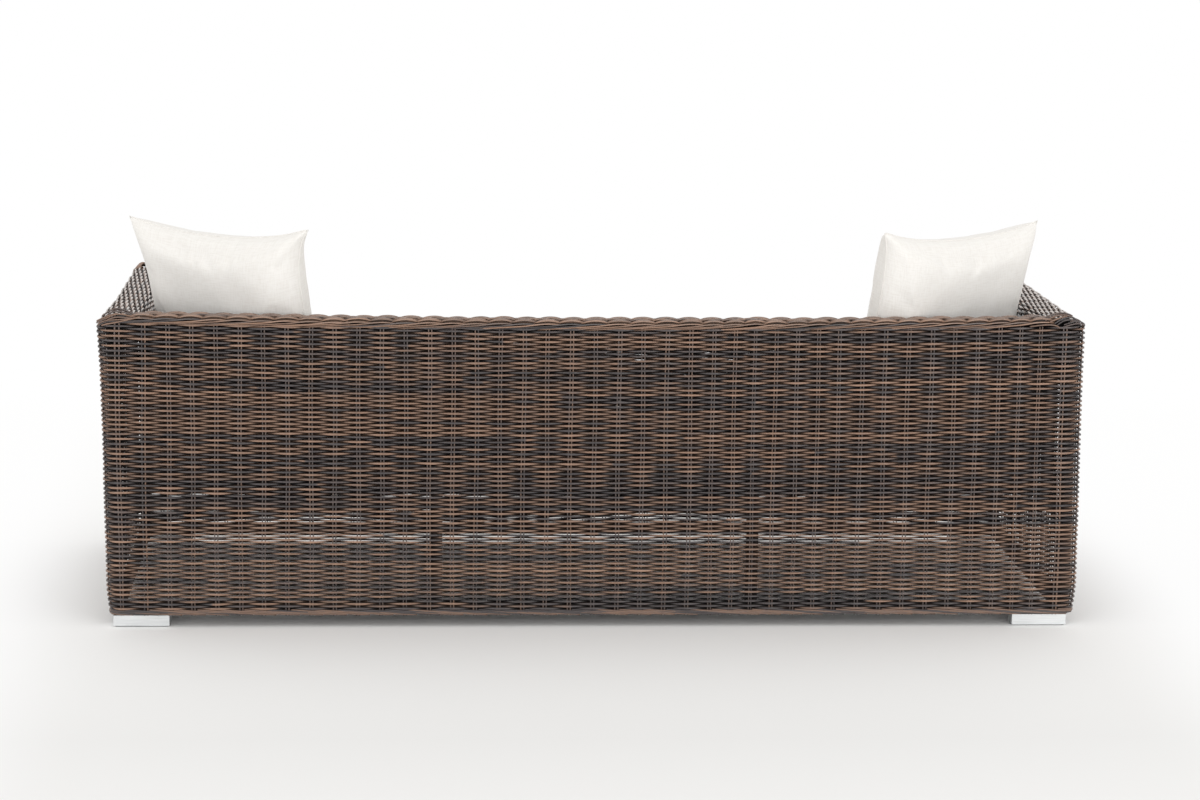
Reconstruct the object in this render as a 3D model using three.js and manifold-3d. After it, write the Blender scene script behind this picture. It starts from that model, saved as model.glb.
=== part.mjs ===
// Three-seat garden sofa in round synthetic rattan, woven over a welded tube frame.
// Millimetres, +Z up. The origin is on the floor under the middle of the sofa,
// the seat opens towards -Y and the back stands on the +Y side.
import * as THREE from 'three';
import { mergeGeometries, mergeVertices } from 'three/addons/utils/BufferGeometryUtils.js';
import Module from 'manifold-3d';

const wasm = await Module();
wasm.setup();

// Overall sizes
const sofaLength = 2100;
const sofaDepth = 860;
const armHeight = 658;
const armWidth = 84;
const deckHeight = 290;
const fitGap = 0.3;

// Woven skins
const skinThickness = 10;
const cornerRadius = 25;
const armEdgeRadius = 16;
const weaverPitch = 5.2;
const weaversPerRidge = 2;
const ridgeHeight = 3.5;

// Rolled borders: along the top of the back, and across the front of each arm's top
const borderHeight = 24;
const stakeSpacing = 50;
const armBorderHeight = 12;
const armBorderLensLength = 26;
const armBorderEndInset = 4;
const borderWaistShare = 0.8;
const borderShoulderShare = 0.94;
const borderShoulderPlaceShare = 0.2;
const borderEndShare = 0.55;
const borderRoundShare = 0.75;
const borderArcSteps = 6;

// Square frame tube
const tubeSide = 25;
const tubeWall = 2;
const tubeCornerRadius = 4;
const bearerCount = 3;
const backPostCount = 2;

// Feet, glides and screws
const footHeight = 25;
const footLength = 120;
const footDepth = 40;
const footInset = 18;
const footWall = 3;
const footFloor = 7;
const footEdgeRadius = 2;
const glideThickness = 1.7;
const glideInset = 4;
const screwSpacing = 60;
const screwRadius = 3;
const screwHeadRadius = 5.5;
const screwHeadHeight = 3;
const screwTail = 8;
const bossRadius = 8;

// Seat cushions
const seatCushionCount = 3;
const seatCushionHeight = 116;
const seatCushionCrown = 11;
const seatCushionPlay = 1.5;
const seatCushionDrawShare = 0.008;
const seatCushionTuckShare = 0.012;
const seatCushionCornerShare = 0.012;

// Throw pillows
const pillowSide = 445;
const pillowThickness = 165;
const pillowSideDrawShare = 0.12;
const pillowTopDrawShare = 0.18;
const pillowFullness = 0.45;
const pillowPoses = [
  { name: 'throw_pillow_left', side: -1, turn: 33, lean: 10 },
  { name: 'throw_pillow_right', side: 1, turn: 31, lean: 12 },
];

// Mesh fineness, in steps
const cornerSteps = 4;
const wallCornerSteps = 2;
const tubeCornerSteps = 1;
const roundSteps = 12;
const seatSteps = { along: 12, across: 10, up: 4 };
const pillowSteps = 14;

// Places that follow from the sizes
const halfLength = sofaLength / 2;
const halfDepth = sofaDepth / 2;
const halfTube = tubeSide / 2;
const cornerShare = 1 - Math.SQRT1_2;
const frameInset = skinThickness + fitGap
  + (cornerRadius - skinThickness - tubeCornerRadius) * cornerShare;
const armFrameInset = skinThickness + fitGap + (armEdgeRadius - skinThickness) * cornerShare;
const backThickness = 2 * frameInset + tubeSide;
const backInnerFace = halfDepth - backThickness;
const armInnerFace = halfLength - armWidth;
const frameBottom = footHeight + fitGap;
const borderBottom = armHeight - skinThickness;
const outerPostX = halfLength - frameInset - halfTube;
const innerPostX = armInnerFace + armFrameInset + halfTube;
const outerPostY = halfDepth - frameInset - halfTube;
const innerRearPostY = backInnerFace - fitGap - halfTube;
const bottomRailZ = frameBottom + halfTube;
const seatRailZ = deckHeight - skinThickness - fitGap - halfTube;
const armRailZ = armHeight - armFrameInset - halfTube;
const backRailZ = borderBottom - fitGap - halfTube;

const sides = [
  { name: 'left', sign: -1 },
  { name: 'right', sign: 1 },
];
const ends = [
  { name: 'front', sign: -1 },
  { name: 'rear', sign: 1 },
];

const finishes = {
  rattan: { color: 0x5b463c, roughness: 0.6, metalness: 0 },
  frame: { color: 0x4a3f3a, roughness: 0.55, metalness: 0.3 },
  aluminium: { color: 0xd2d5d7, roughness: 0.3, metalness: 1 },
  plastic: { color: 0x1b1b1c, roughness: 0.6, metalness: 0 },
  steel: { color: 0xa9abad, roughness: 0.35, metalness: 1 },
  cover: { color: 0xe9e5df, roughness: 0.9, metalness: 0 },
};

const sofa = new THREE.Group();

function addPiece(name, geometry, finish) {
  const piece = new THREE.Mesh(geometry, new THREE.MeshStandardMaterial(finishes[finish]));
  piece.name = name;
  sofa.add(piece);
  return piece;
}

function welded(geometry) {
  const bare = geometry.clone();
  bare.deleteAttribute('normal');
  bare.deleteAttribute('uv');
  return mergeVertices(bare);
}

function toSolid(geometry) {
  const shared = welded(geometry);
  return new wasm.Manifold(new wasm.Mesh({
    numProp: 3,
    vertProperties: new Float32Array(shared.attributes.position.array),
    triVerts: new Uint32Array(shared.index.array),
  }));
}

function toGeometry(solid) {
  const mesh = solid.getMesh();
  const geometry = new THREE.BufferGeometry();
  geometry.setAttribute('position', new THREE.BufferAttribute(mesh.vertProperties, mesh.numProp));
  geometry.setIndex(new THREE.BufferAttribute(mesh.triVerts, 1));
  return geometry;
}

// A mirror image across the middle of the sofa, with its faces turned outwards again.
function mirrored(geometry) {
  const shared = welded(geometry);
  shared.scale(-1, 1, 1);
  const corners = shared.index.array;
  for (let i = 0; i < corners.length; i += 3) {
    [corners[i], corners[i + 1]] = [corners[i + 1], corners[i]];
  }
  return shared;
}

function onSide(geometry, sign) {
  return sign > 0 ? geometry : mirrored(geometry);
}

// Outlines

function roundedRectangle(width, height, radius) {
  const right = width / 2 - radius;
  const top = height / 2 - radius;
  const outline = new THREE.Shape();
  outline.absarc(right, top, radius, 0, Math.PI / 2);
  outline.absarc(-right, top, radius, Math.PI / 2, Math.PI);
  outline.absarc(-right, -top, radius, Math.PI, 1.5 * Math.PI);
  outline.absarc(right, -top, radius, 1.5 * Math.PI, 2 * Math.PI);
  outline.closePath();
  return outline;
}

function extruded(outline, length, steps) {
  return new THREE.ExtrudeGeometry(outline, {
    depth: length,
    bevelEnabled: false,
    curveSegments: steps,
  });
}

// A block from a plan outline, standing on the given height.
function standing(outline, bottom, top) {
  return extruded(outline, top - bottom, cornerSteps).translate(0, 0, bottom);
}

// A bar from an outline in X and Z, running along Y.
function runningAlongY(outline, start, end) {
  return extruded(outline, end - start, cornerSteps).rotateX(Math.PI / 2).translate(0, end, 0);
}

// A bar from an outline in Y and Z, running along X.
function runningAlongX(outline, start, end) {
  return extruded(outline, end - start, cornerSteps)
    .rotateX(Math.PI / 2)
    .rotateZ(Math.PI / 2)
    .translate(start, 0, 0);
}

// A body through a row of like rings, closed at both ends by the given faces of a ring.
function lofted(rings, endFaces) {
  const count = rings[0].length;
  const corners = [];
  for (let r = 0; r + 1 < rings.length; r += 1) {
    for (let i = 0; i < count; i += 1) {
      const a = r * count + i;
      const b = r * count + (i + 1) % count;
      corners.push(a, b, b + count, a, b + count, a + count);
    }
  }
  const last = (rings.length - 1) * count;
  for (const [a, b, c] of endFaces) {
    corners.push(a, c, b);
    corners.push(last + a, last + b, last + c);
  }
  const geometry = new THREE.BufferGeometry();
  geometry.setAttribute('position', new THREE.Float32BufferAttribute(rings.flat(2), 3));
  geometry.setIndex(corners);
  return geometry;
}

// Frame

function squareTube(length) {
  const section = roundedRectangle(tubeSide, tubeSide, tubeCornerRadius);
  const bore = tubeSide - 2 * tubeWall;
  section.holes.push(roundedRectangle(bore, bore, tubeCornerRadius - tubeWall));
  return extruded(section, length, tubeCornerSteps);
}

function postBetween(x, y, bottom, top) {
  return squareTube(top - bottom).translate(x, y, bottom);
}

function railAlongX(start, end, y, z) {
  return squareTube(end - start).rotateY(Math.PI / 2).translate(start, y, z);
}

function railAlongY(start, end, x, z) {
  return squareTube(end - start).rotateX(Math.PI / 2).translate(x, end, z);
}

function footCentreX(sign) {
  return sign * (halfLength - footInset - footLength / 2);
}

function screwPlaces() {
  const places = [];
  for (const side of sides) {
    for (const end of ends) {
      for (const step of [-1, 1]) {
        places.push({
          name: `foot_screw_${end.name}_${side.name}_${step < 0 ? 'a' : 'b'}`,
          x: footCentreX(side.sign) + step * screwSpacing / 2,
          y: end.sign * outerPostY,
        });
      }
    }
  }
  return places;
}

function upright(radius, bottom, top, x, y) {
  return new THREE.CylinderGeometry(radius, radius, top - bottom, roundSteps)
    .rotateX(Math.PI / 2)
    .translate(x, y, (bottom + top) / 2);
}

function bottomRailWithScrewHoles(sign) {
  const reach = outerPostX - halfTube - fitGap;
  let rail = toSolid(railAlongX(-reach, reach, sign * outerPostY, bottomRailZ));
  for (const place of screwPlaces()) {
    if (Math.sign(place.y) === sign) {
      const hole = upright(screwRadius + fitGap, footFloor, bottomRailZ, place.x, place.y);
      rail = rail.subtract(toSolid(hole));
    }
  }
  return toGeometry(rail);
}

function addOuterFrame() {
  for (const end of ends) {
    const postTop = end.sign > 0 ? backRailZ + halfTube : armRailZ + halfTube;
    for (const side of sides) {
      const post = postBetween(side.sign * outerPostX, end.sign * outerPostY, frameBottom, postTop);
      addPiece(`corner_post_${end.name}_${side.name}`, post, 'frame');
    }
    addPiece(`bottom_rail_${end.name}`, bottomRailWithScrewHoles(end.sign), 'frame');
  }
  const reach = outerPostY - halfTube - fitGap;
  for (const side of sides) {
    const x = side.sign * outerPostX;
    addPiece(`bottom_rail_${side.name}`, railAlongY(-reach, reach, x, bottomRailZ), 'frame');
    addPiece(`arm_rail_outer_${side.name}`, railAlongY(-reach, reach, x, armRailZ), 'frame');
  }
}

function addSeatFrame() {
  const acrossReach = outerPostX - halfTube - fitGap;
  const alongReach = outerPostY - halfTube - fitGap;
  for (const end of ends) {
    const rail = railAlongX(-acrossReach, acrossReach, end.sign * outerPostY, seatRailZ);
    addPiece(`seat_rail_${end.name}`, rail, 'frame');
  }
  for (const side of sides) {
    const rail = railAlongY(-alongReach, alongReach, side.sign * innerPostX, seatRailZ);
    addPiece(`seat_rail_${side.name}`, rail, 'frame');
  }
  const bearerSpacing = 2 * armInnerFace / (bearerCount + 1);
  for (let i = 1; i <= bearerCount; i += 1) {
    const x = -armInnerFace + i * bearerSpacing;
    addPiece(`seat_bearer_${i}`, railAlongY(-alongReach, alongReach, x, seatRailZ), 'frame');
  }
}

function addArmInnerFrame() {
  const bottom = seatRailZ + halfTube + fitGap;
  const top = armRailZ + halfTube;
  const frontY = -outerPostY;
  for (const side of sides) {
    const x = side.sign * innerPostX;
    addPiece(`arm_post_front_${side.name}`, postBetween(x, frontY, bottom, top), 'frame');
    addPiece(`arm_post_rear_${side.name}`, postBetween(x, innerRearPostY, bottom, top), 'frame');
    const start = frontY + halfTube + fitGap;
    const end = innerRearPostY - halfTube - fitGap;
    addPiece(`arm_rail_inner_${side.name}`, railAlongY(start, end, x, armRailZ), 'frame');
  }
}

function addBackFrame() {
  const reach = outerPostX - halfTube - fitGap;
  addPiece('back_top_rail', railAlongX(-reach, reach, outerPostY, backRailZ), 'frame');
  const spacing = 2 * outerPostX / (backPostCount + 1);
  const joint = halfTube + fitGap;
  for (let i = 1; i <= backPostCount; i += 1) {
    const x = -outerPostX + i * spacing;
    const lower = postBetween(x, outerPostY, bottomRailZ + joint, seatRailZ - joint);
    const upper = postBetween(x, outerPostY, seatRailZ + joint, backRailZ - joint);
    addPiece(`back_post_lower_${i}`, lower, 'frame');
    addPiece(`back_post_upper_${i}`, upper, 'frame');
  }
}

// Feet

function footGeometry(x, y) {
  const floorTop = glideThickness + fitGap + footFloor;
  const bottom = glideThickness + fitGap;
  const outline = roundedRectangle(footLength, footDepth, footEdgeRadius);
  const hollow = new THREE.BoxGeometry(
    footLength - 2 * footWall, footDepth - 2 * footWall, footHeight,
  ).translate(x, y, floorTop + footHeight / 2);
  let foot = toSolid(standing(outline, bottom, footHeight).translate(x, y, 0));
  foot = foot.subtract(toSolid(hollow));
  for (const step of [-1, 1]) {
    const screwX = x + step * screwSpacing / 2;
    foot = foot.add(toSolid(upright(bossRadius, bottom + footWall, footHeight, screwX, y)));
  }
  for (const step of [-1, 1]) {
    const screwX = x + step * screwSpacing / 2;
    const seat = bottom + screwHeadHeight + fitGap;
    foot = foot.subtract(toSolid(upright(screwRadius + fitGap, 0, footHeight + fitGap, screwX, y)));
    foot = foot.subtract(toSolid(upright(screwHeadRadius + fitGap, 0, seat, screwX, y)));
  }
  return toGeometry(foot);
}

function glideGeometry(x, y) {
  const outline = roundedRectangle(
    footLength - 2 * glideInset, footDepth - 2 * glideInset, footEdgeRadius,
  );
  return standing(outline, 0, glideThickness).translate(x, y, 0);
}

// A pan-head screw, its head up inside the foot's floor and its tail in the rail.
function screwGeometry(x, y) {
  const headBottom = glideThickness + 2 * fitGap;
  const headTop = headBottom + screwHeadHeight - fitGap;
  const tailTop = frameBottom + tubeWall + screwTail;
  const profile = [
    new THREE.Vector2(0, headBottom),
    new THREE.Vector2(screwHeadRadius, headBottom),
    new THREE.Vector2(screwHeadRadius, headTop),
    new THREE.Vector2(screwRadius, headTop),
    new THREE.Vector2(screwRadius, tailTop),
    new THREE.Vector2(0, tailTop),
  ];
  return new THREE.LatheGeometry(profile, roundSteps).rotateX(Math.PI / 2).translate(x, y, 0);
}

function addFeet() {
  for (const side of sides) {
    for (const end of ends) {
      const x = footCentreX(side.sign);
      const y = end.sign * outerPostY;
      addPiece(`foot_${end.name}_${side.name}`, footGeometry(x, y), 'aluminium');
      addPiece(`glide_${end.name}_${side.name}`, glideGeometry(x, y), 'plastic');
    }
  }
  for (const place of screwPlaces()) {
    addPiece(place.name, screwGeometry(place.x, place.y), 'steel');
  }
}

// Woven skins

// The weave's relief: points along an open line, by turns on it and set back to its left.
// One ridge stands for a few weavers, which lie closer than the facets allow.
function ridgedLine(line) {
  const count = Math.max(1, Math.round(line.getLength() / (weaverPitch * weaversPerRidge)));
  const points = [];
  for (let i = 0; i <= 2 * count; i += 1) {
    const share = i / (2 * count);
    const point = line.getPoint(share);
    if (i % 2 === 1) {
      const along = line.getTangent(share);
      point.add(new THREE.Vector2(-along.y, along.x).multiplyScalar(ridgeHeight));
    }
    points.push(point);
  }
  return points;
}

function straightLine(fromX, fromY, toX, toY) {
  return new THREE.LineCurve(new THREE.Vector2(fromX, fromY), new THREE.Vector2(toX, toY));
}

// The outer face of a long wall on the +Y side whose two ends turn the corners, from -X to +X:
// places, each with the angle that faces outwards.
function wallStations(returnDepth) {
  const stations = [];
  for (const sign of [-1, 1]) {
    for (let i = 0; i <= wallCornerSteps; i += 1) {
      const angle = Math.PI / 2 * ((sign < 0 ? 2 : 1) - i / wallCornerSteps);
      stations.push({
        x: sign * (halfLength - cornerRadius) + cornerRadius * Math.cos(angle),
        y: halfDepth - cornerRadius + cornerRadius * Math.sin(angle),
        angle,
      });
    }
  }
  if (returnDepth > cornerRadius) {
    const y = halfDepth - returnDepth;
    stations.unshift({ x: -halfLength, y, angle: Math.PI });
    stations.push({ x: halfLength, y, angle: 0 });
  }
  return stations;
}

// A wall of the weave that turns both corners, its ridges running round it.
function ridgedWall(returnDepth, bottom, top) {
  const section = [
    ...ridgedLine(straightLine(0, bottom, 0, top)),
    new THREE.Vector2(-skinThickness, top),
    new THREE.Vector2(-skinThickness, bottom),
  ];
  const rings = wallStations(returnDepth).map(({ x, y, angle }) => section.map((point) => [
    x + point.x * Math.cos(angle), y + point.x * Math.sin(angle), point.y,
  ]));
  return lofted(rings, THREE.ShapeUtils.triangulateShape(section, []));
}

// The arm seen from the front, its two upper edges rounded.
function armOutline(outerFace, innerFace, bottom, top, radius) {
  const outline = new THREE.Shape();
  outline.moveTo(innerFace, bottom);
  outline.lineTo(outerFace, bottom);
  outline.absarc(outerFace - radius, top - radius, radius, 0, Math.PI / 2);
  outline.absarc(innerFace + radius, top - radius, radius, Math.PI / 2, Math.PI);
  outline.closePath();
  return outline;
}

// The arm's skin: down the outside to the feet, over the top, and down the inside to the deck.
function armSkinGeometry() {
  const start = -halfDepth + cornerRadius + fitGap;
  const end = backInnerFace - fitGap;
  const innerRadius = armEdgeRadius - skinThickness;
  const face = new THREE.Path();
  face.moveTo(halfLength, frameBottom);
  face.lineTo(halfLength, armHeight - armEdgeRadius);
  face.absarc(
    halfLength - armEdgeRadius, armHeight - armEdgeRadius, armEdgeRadius, 0, Math.PI / 2,
  );
  face.absarc(
    armInnerFace + armEdgeRadius, armHeight - armEdgeRadius, armEdgeRadius, Math.PI / 2, Math.PI,
  );
  face.lineTo(armInnerFace, deckHeight + fitGap);
  const outer = new THREE.Shape([
    ...ridgedLine(face), new THREE.Vector2(armInnerFace, frameBottom),
  ]);
  const inner = armOutline(
    halfLength - skinThickness, armInnerFace + skinThickness,
    frameBottom - skinThickness, armHeight - skinThickness, innerRadius,
  );
  const innerWallLow = new THREE.BoxGeometry(
    armWidth - skinThickness, sofaDepth, deckHeight + fitGap,
  ).translate(
    armInnerFace + (armWidth - skinThickness) / 2, 0, (deckHeight + fitGap) / 2,
  );
  return toGeometry(
    toSolid(runningAlongY(outer, start, end))
      .subtract(toSolid(runningAlongY(inner, start - skinThickness, end + skinThickness)))
      .subtract(toSolid(innerWallLow)),
  );
}

// The block that an arm's front end fills, drawn in by the given amount on every face.
function armEndBlock(inset, bottom) {
  const outerFace = halfLength - inset;
  const innerFace = armInnerFace + inset;
  const front = -halfDepth + inset;
  const top = armHeight - inset;
  const rear = -halfDepth + cornerRadius + inset;
  const cornerIn = cornerRadius - inset;
  const edgeIn = armEdgeRadius - inset;
  const plan = new THREE.Shape();
  plan.moveTo(outerFace, rear);
  plan.lineTo(innerFace, rear);
  plan.absarc(innerFace + edgeIn, front + edgeIn, edgeIn, Math.PI, 1.5 * Math.PI);
  plan.absarc(outerFace - cornerIn, front + cornerIn, cornerIn, 1.5 * Math.PI, 2 * Math.PI);
  plan.closePath();
  const elevation = armOutline(outerFace, innerFace, bottom, top, edgeIn);
  const profile = new THREE.Shape();
  profile.moveTo(rear, bottom);
  profile.lineTo(rear, top);
  profile.absarc(front + edgeIn, top - edgeIn, edgeIn, Math.PI / 2, Math.PI);
  profile.lineTo(front, bottom);
  profile.closePath();
  const sideView = runningAlongX(profile, armInnerFace, halfLength);
  return toSolid(standing(plan, bottom, top))
    .intersect(toSolid(runningAlongY(elevation, front, rear)))
    .intersect(toSolid(sideView));
}

function armEndSkinGeometry() {
  const bottom = deckHeight + fitGap;
  return toGeometry(
    armEndBlock(0, bottom).subtract(armEndBlock(skinThickness, bottom - skinThickness)),
  );
}

function slab(left, right, front, rear, bottom, top) {
  return new THREE.BoxGeometry(right - left, rear - front, top - bottom)
    .translate((left + right) / 2, (front + rear) / 2, (bottom + top) / 2);
}

function addSkins() {
  const back = ridgedWall(backThickness, frameBottom, borderBottom - fitGap);
  addPiece('back_outer_skin', back, 'rattan');
  const apron = ridgedWall(cornerRadius, frameBottom, deckHeight).rotateZ(Math.PI);
  addPiece('front_lower_skin', apron, 'rattan');
  for (const side of sides) {
    addPiece(`arm_skin_${side.name}`, onSide(armSkinGeometry(), side.sign), 'rattan');
    addPiece(`arm_end_skin_${side.name}`, onSide(armEndSkinGeometry(), side.sign), 'rattan');
  }
  const innerReach = armInnerFace + skinThickness;
  const liningBottom = deckHeight + fitGap;
  const liningTop = borderBottom - fitGap;
  const lining = new THREE.Shape([
    ...ridgedLine(straightLine(backInnerFace, liningTop, backInnerFace, liningBottom)),
    new THREE.Vector2(backInnerFace + skinThickness, liningBottom),
    new THREE.Vector2(backInnerFace + skinThickness, liningTop),
  ]);
  addPiece('back_inner_skin', runningAlongX(lining, -innerReach, innerReach), 'rattan');
  const deck = slab(
    -innerReach, innerReach, -halfDepth + skinThickness + fitGap, backInnerFace + skinThickness,
    deckHeight - skinThickness, deckHeight,
  );
  addPiece('seat_deck', deck, 'rattan');
}

// Rolled borders

// How far a rounded plan corner has drawn back from its two faces at a place along X.
function cornerDrawBack(x) {
  const past = Math.max(0, Math.abs(x) - (halfLength - cornerRadius));
  return cornerRadius - Math.sqrt(cornerRadius ** 2 - past ** 2);
}

// One ring of a border: an arch of points from one face to the other, flat underneath.
function borderRing(x, front, rear, bottom, fullHeight, sizeShare) {
  const middle = (front + rear) / 2;
  const reach = (rear - front) / 2 * (1 + sizeShare) / 2;
  const points = [];
  for (let i = 0; i <= borderArcSteps; i += 1) {
    const angle = Math.PI * i / borderArcSteps;
    const across = Math.sign(Math.cos(angle)) * Math.abs(Math.cos(angle)) ** borderRoundShare;
    const up = Math.abs(Math.sin(angle)) ** borderRoundShare;
    points.push([x, middle + reach * across, bottom + fullHeight * sizeShare * up]);
  }
  return points;
}

// A border swells into one lens after another and narrows between them.
function borderGeometry(start, lensLength, lensCount, ring) {
  const rings = [];
  for (let i = 0; i < lensCount; i += 1) {
    const from = start + i * lensLength;
    rings.push(ring(from, i === 0 ? borderEndShare : borderWaistShare));
    rings.push(ring(from + lensLength * borderShoulderPlaceShare, borderShoulderShare));
    rings.push(ring(from + lensLength / 2, 1));
    rings.push(ring(from + lensLength * (1 - borderShoulderPlaceShare), borderShoulderShare));
  }
  rings.push(ring(start + lensCount * lensLength, borderEndShare));
  const endFaces = [];
  for (let i = 1; i + 1 < rings[0].length; i += 1) {
    endFaces.push([0, i, i + 1]);
  }
  return lofted(rings, endFaces);
}

// The back's border has one lens over each stake of the weave.
function topBorderGeometry() {
  const lensCount = Math.round(sofaLength / stakeSpacing);
  return borderGeometry(-halfLength, sofaLength / lensCount, lensCount, (x, sizeShare) => (
    borderRing(
      x, backInnerFace, halfDepth - cornerDrawBack(x), borderBottom, borderHeight, sizeShare,
    )
  ));
}

// The arm's border lies on the arm's front end.
function armBorderGeometry() {
  const start = armInnerFace + armBorderEndInset;
  const length = armWidth - 2 * armBorderEndInset;
  const lensCount = Math.max(1, Math.round(length / armBorderLensLength));
  return borderGeometry(start, length / lensCount, lensCount, (x, sizeShare) => (
    borderRing(
      x, -halfDepth + cornerDrawBack(x), -halfDepth + cornerRadius, armHeight + fitGap,
      armBorderHeight, sizeShare,
    )
  ));
}

// Cushions

const seatCushionWidth = (2 * armInnerFace - (seatCushionCount + 1) * seatCushionPlay)
  / seatCushionCount;
const seatCushionDepth = backInnerFace + halfDepth - seatCushionPlay;
const seatCushionMiddleY = (backInnerFace - seatCushionPlay - halfDepth) / 2;
const seatCushionBottom = deckHeight + fitGap;

// Steps that are even along a cushion bunch up towards its edges.
function towardsEdge(step) {
  return Math.sin(step * Math.PI / 2);
}

function seatCushionX(index) {
  return (index - (seatCushionCount - 1) / 2) * (seatCushionWidth + seatCushionPlay);
}

function seatCushionTop(acrossShare, alongShare) {
  return seatCushionBottom + seatCushionHeight
    + seatCushionCrown * (1 - acrossShare ** 2) * (1 - alongShare ** 2);
}

// A filled seat cushion: flat below, crowned on top, its sides drawn in between the corners
// and tucked in at the upper and lower seams.
function seatCushionGeometry(index) {
  const geometry = welded(new THREE.BoxGeometry(
    1, 1, 1, seatSteps.along, seatSteps.across, seatSteps.up,
  ));
  const places = geometry.attributes.position;
  for (let i = 0; i < places.count; i += 1) {
    const u = towardsEdge(2 * places.getX(i));
    const v = towardsEdge(2 * places.getY(i));
    const w = 2 * places.getZ(i);
    const tuck = 1 - seatCushionTuckShare * w ** 2 - seatCushionCornerShare * (u * v) ** 8;
    const x = u * seatCushionWidth / 2 * tuck * (1 - seatCushionDrawShare * (1 - v ** 2));
    const y = v * seatCushionDepth / 2 * tuck * (1 - seatCushionDrawShare * (1 - u ** 2));
    const z = seatCushionBottom + (seatCushionTop(u, v) - seatCushionBottom) * (1 + w) / 2;
    places.setXYZ(i, x + seatCushionX(index), y + seatCushionMiddleY, z);
  }
  return geometry;
}

// A knife-edged pillow: two panels that meet in one seam, with pulled-out corners.
function pillowGeometry() {
  const front = new THREE.PlaneGeometry(1, 1, pillowSteps, pillowSteps);
  const rear = front.clone().rotateY(Math.PI);
  const panels = [front, rear].map((panel, panelIndex) => {
    const places = panel.attributes.position;
    for (let i = 0; i < places.count; i += 1) {
      const u = towardsEdge(2 * places.getX(i));
      const v = towardsEdge(2 * places.getY(i));
      const bulge = Math.max(0, (1 - u ** 2) * (1 - v ** 2)) ** pillowFullness;
      const x = u * pillowSide / 2 * (1 - pillowSideDrawShare * (1 - v ** 2));
      const y = v * pillowSide / 2 * (1 - pillowTopDrawShare * (1 - u ** 2));
      const edge = Math.abs(places.getX(i)) === 0.5 || Math.abs(places.getY(i)) === 0.5;
      const z = edge ? 0 : pillowThickness / 2 * bulge * (panelIndex === 0 ? 1 : -1);
      places.setXYZ(i, x, y, z);
    }
    return panel;
  });
  return welded(mergeGeometries(panels));
}

function eachPlace(geometry, visit) {
  const places = geometry.attributes.position;
  const place = new THREE.Vector3();
  for (let i = 0; i < places.count; i += 1) {
    visit(place.fromBufferAttribute(places, i));
  }
}

// The furthest that the part of a shape below a height reaches, by the given measure.
function reachBelow(geometry, height, measure) {
  const places = geometry.attributes.position;
  const corners = geometry.index.array;
  const from = new THREE.Vector3();
  const to = new THREE.Vector3();
  let reach = -Infinity;
  for (let i = 0; i < corners.length; i += 1) {
    const next = i % 3 === 2 ? i - 2 : i + 1;
    from.fromBufferAttribute(places, corners[i]);
    to.fromBufferAttribute(places, corners[next]);
    if (from.z <= height) {
      reach = Math.max(reach, measure(from));
    }
    if ((from.z - height) * (to.z - height) < 0) {
      reach = Math.max(reach, measure(from.lerp(to, (height - from.z) / (to.z - from.z))));
    }
  }
  return reach;
}

// How high the end cushion's top is below a point.
function endCushionTopAt(x, y) {
  const middle = seatCushionX(seatCushionCount - 1);
  const across = THREE.MathUtils.clamp((Math.abs(x) - middle) / (seatCushionWidth / 2), -1, 1);
  const along = THREE.MathUtils.clamp((y - seatCushionMiddleY) / (seatCushionDepth / 2), -1, 1);
  return seatCushionTop(across, along);
}

// A pillow turned to its corner, leant back, and pushed in until it meets the arm, the back
// and the cushion below it.
function nestledPillow(pose) {
  const turn = THREE.MathUtils.degToRad(pose.turn) * -pose.side;
  const lean = THREE.MathUtils.degToRad(pose.lean);
  const pillow = pillowGeometry().rotateX(Math.PI / 2 - lean).rotateZ(turn);
  let lowest = Infinity;
  eachPlace(pillow, (place) => {
    lowest = Math.min(lowest, place.z);
  });
  pillow.translate(0, 0, seatCushionBottom + seatCushionHeight - lowest);
  const outermost = reachBelow(pillow, armHeight, (place) => pose.side * place.x);
  const rearmost = reachBelow(pillow, borderBottom + borderHeight, (place) => place.y);
  pillow.translate(
    pose.side * (armInnerFace - fitGap - outermost), backInnerFace - fitGap - rearmost, 0,
  );
  let drop = Infinity;
  eachPlace(pillow, (place) => {
    drop = Math.min(drop, place.z - endCushionTopAt(place.x, place.y));
  });
  return pillow.translate(0, 0, fitGap - drop);
}

function addCushions() {
  const names = ['left', 'middle', 'right'];
  for (let i = 0; i < seatCushionCount; i += 1) {
    addPiece(`seat_cushion_${names[i] ?? i}`, seatCushionGeometry(i), 'cover');
  }
  for (const pose of pillowPoses) {
    addPiece(pose.name, nestledPillow(pose), 'cover');
  }
}

addFeet();
addOuterFrame();
addSeatFrame();
addArmInnerFrame();
addBackFrame();
addSkins();
addPiece('top_border', topBorderGeometry(), 'rattan');
for (const side of sides) {
  addPiece(`arm_border_${side.name}`, onSide(armBorderGeometry(), side.sign), 'rattan');
}
addCushions();

export default sofa;
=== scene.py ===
"""The looks of a three-seat garden sofa in round synthetic rattan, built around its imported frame.

Metres, +Z up, the origin on the floor under the middle of the sofa. The seat opens towards -Y
and the back stands on the +Y side, where the camera is.
"""

import logging
import math
from collections.abc import Iterator
from contextlib import contextmanager
from dataclasses import dataclass, field
from enum import Enum

import bpy
import numpy as np
from mathutils import Matrix, Vector
from mathutils.bvhtree import BVHTree


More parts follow.
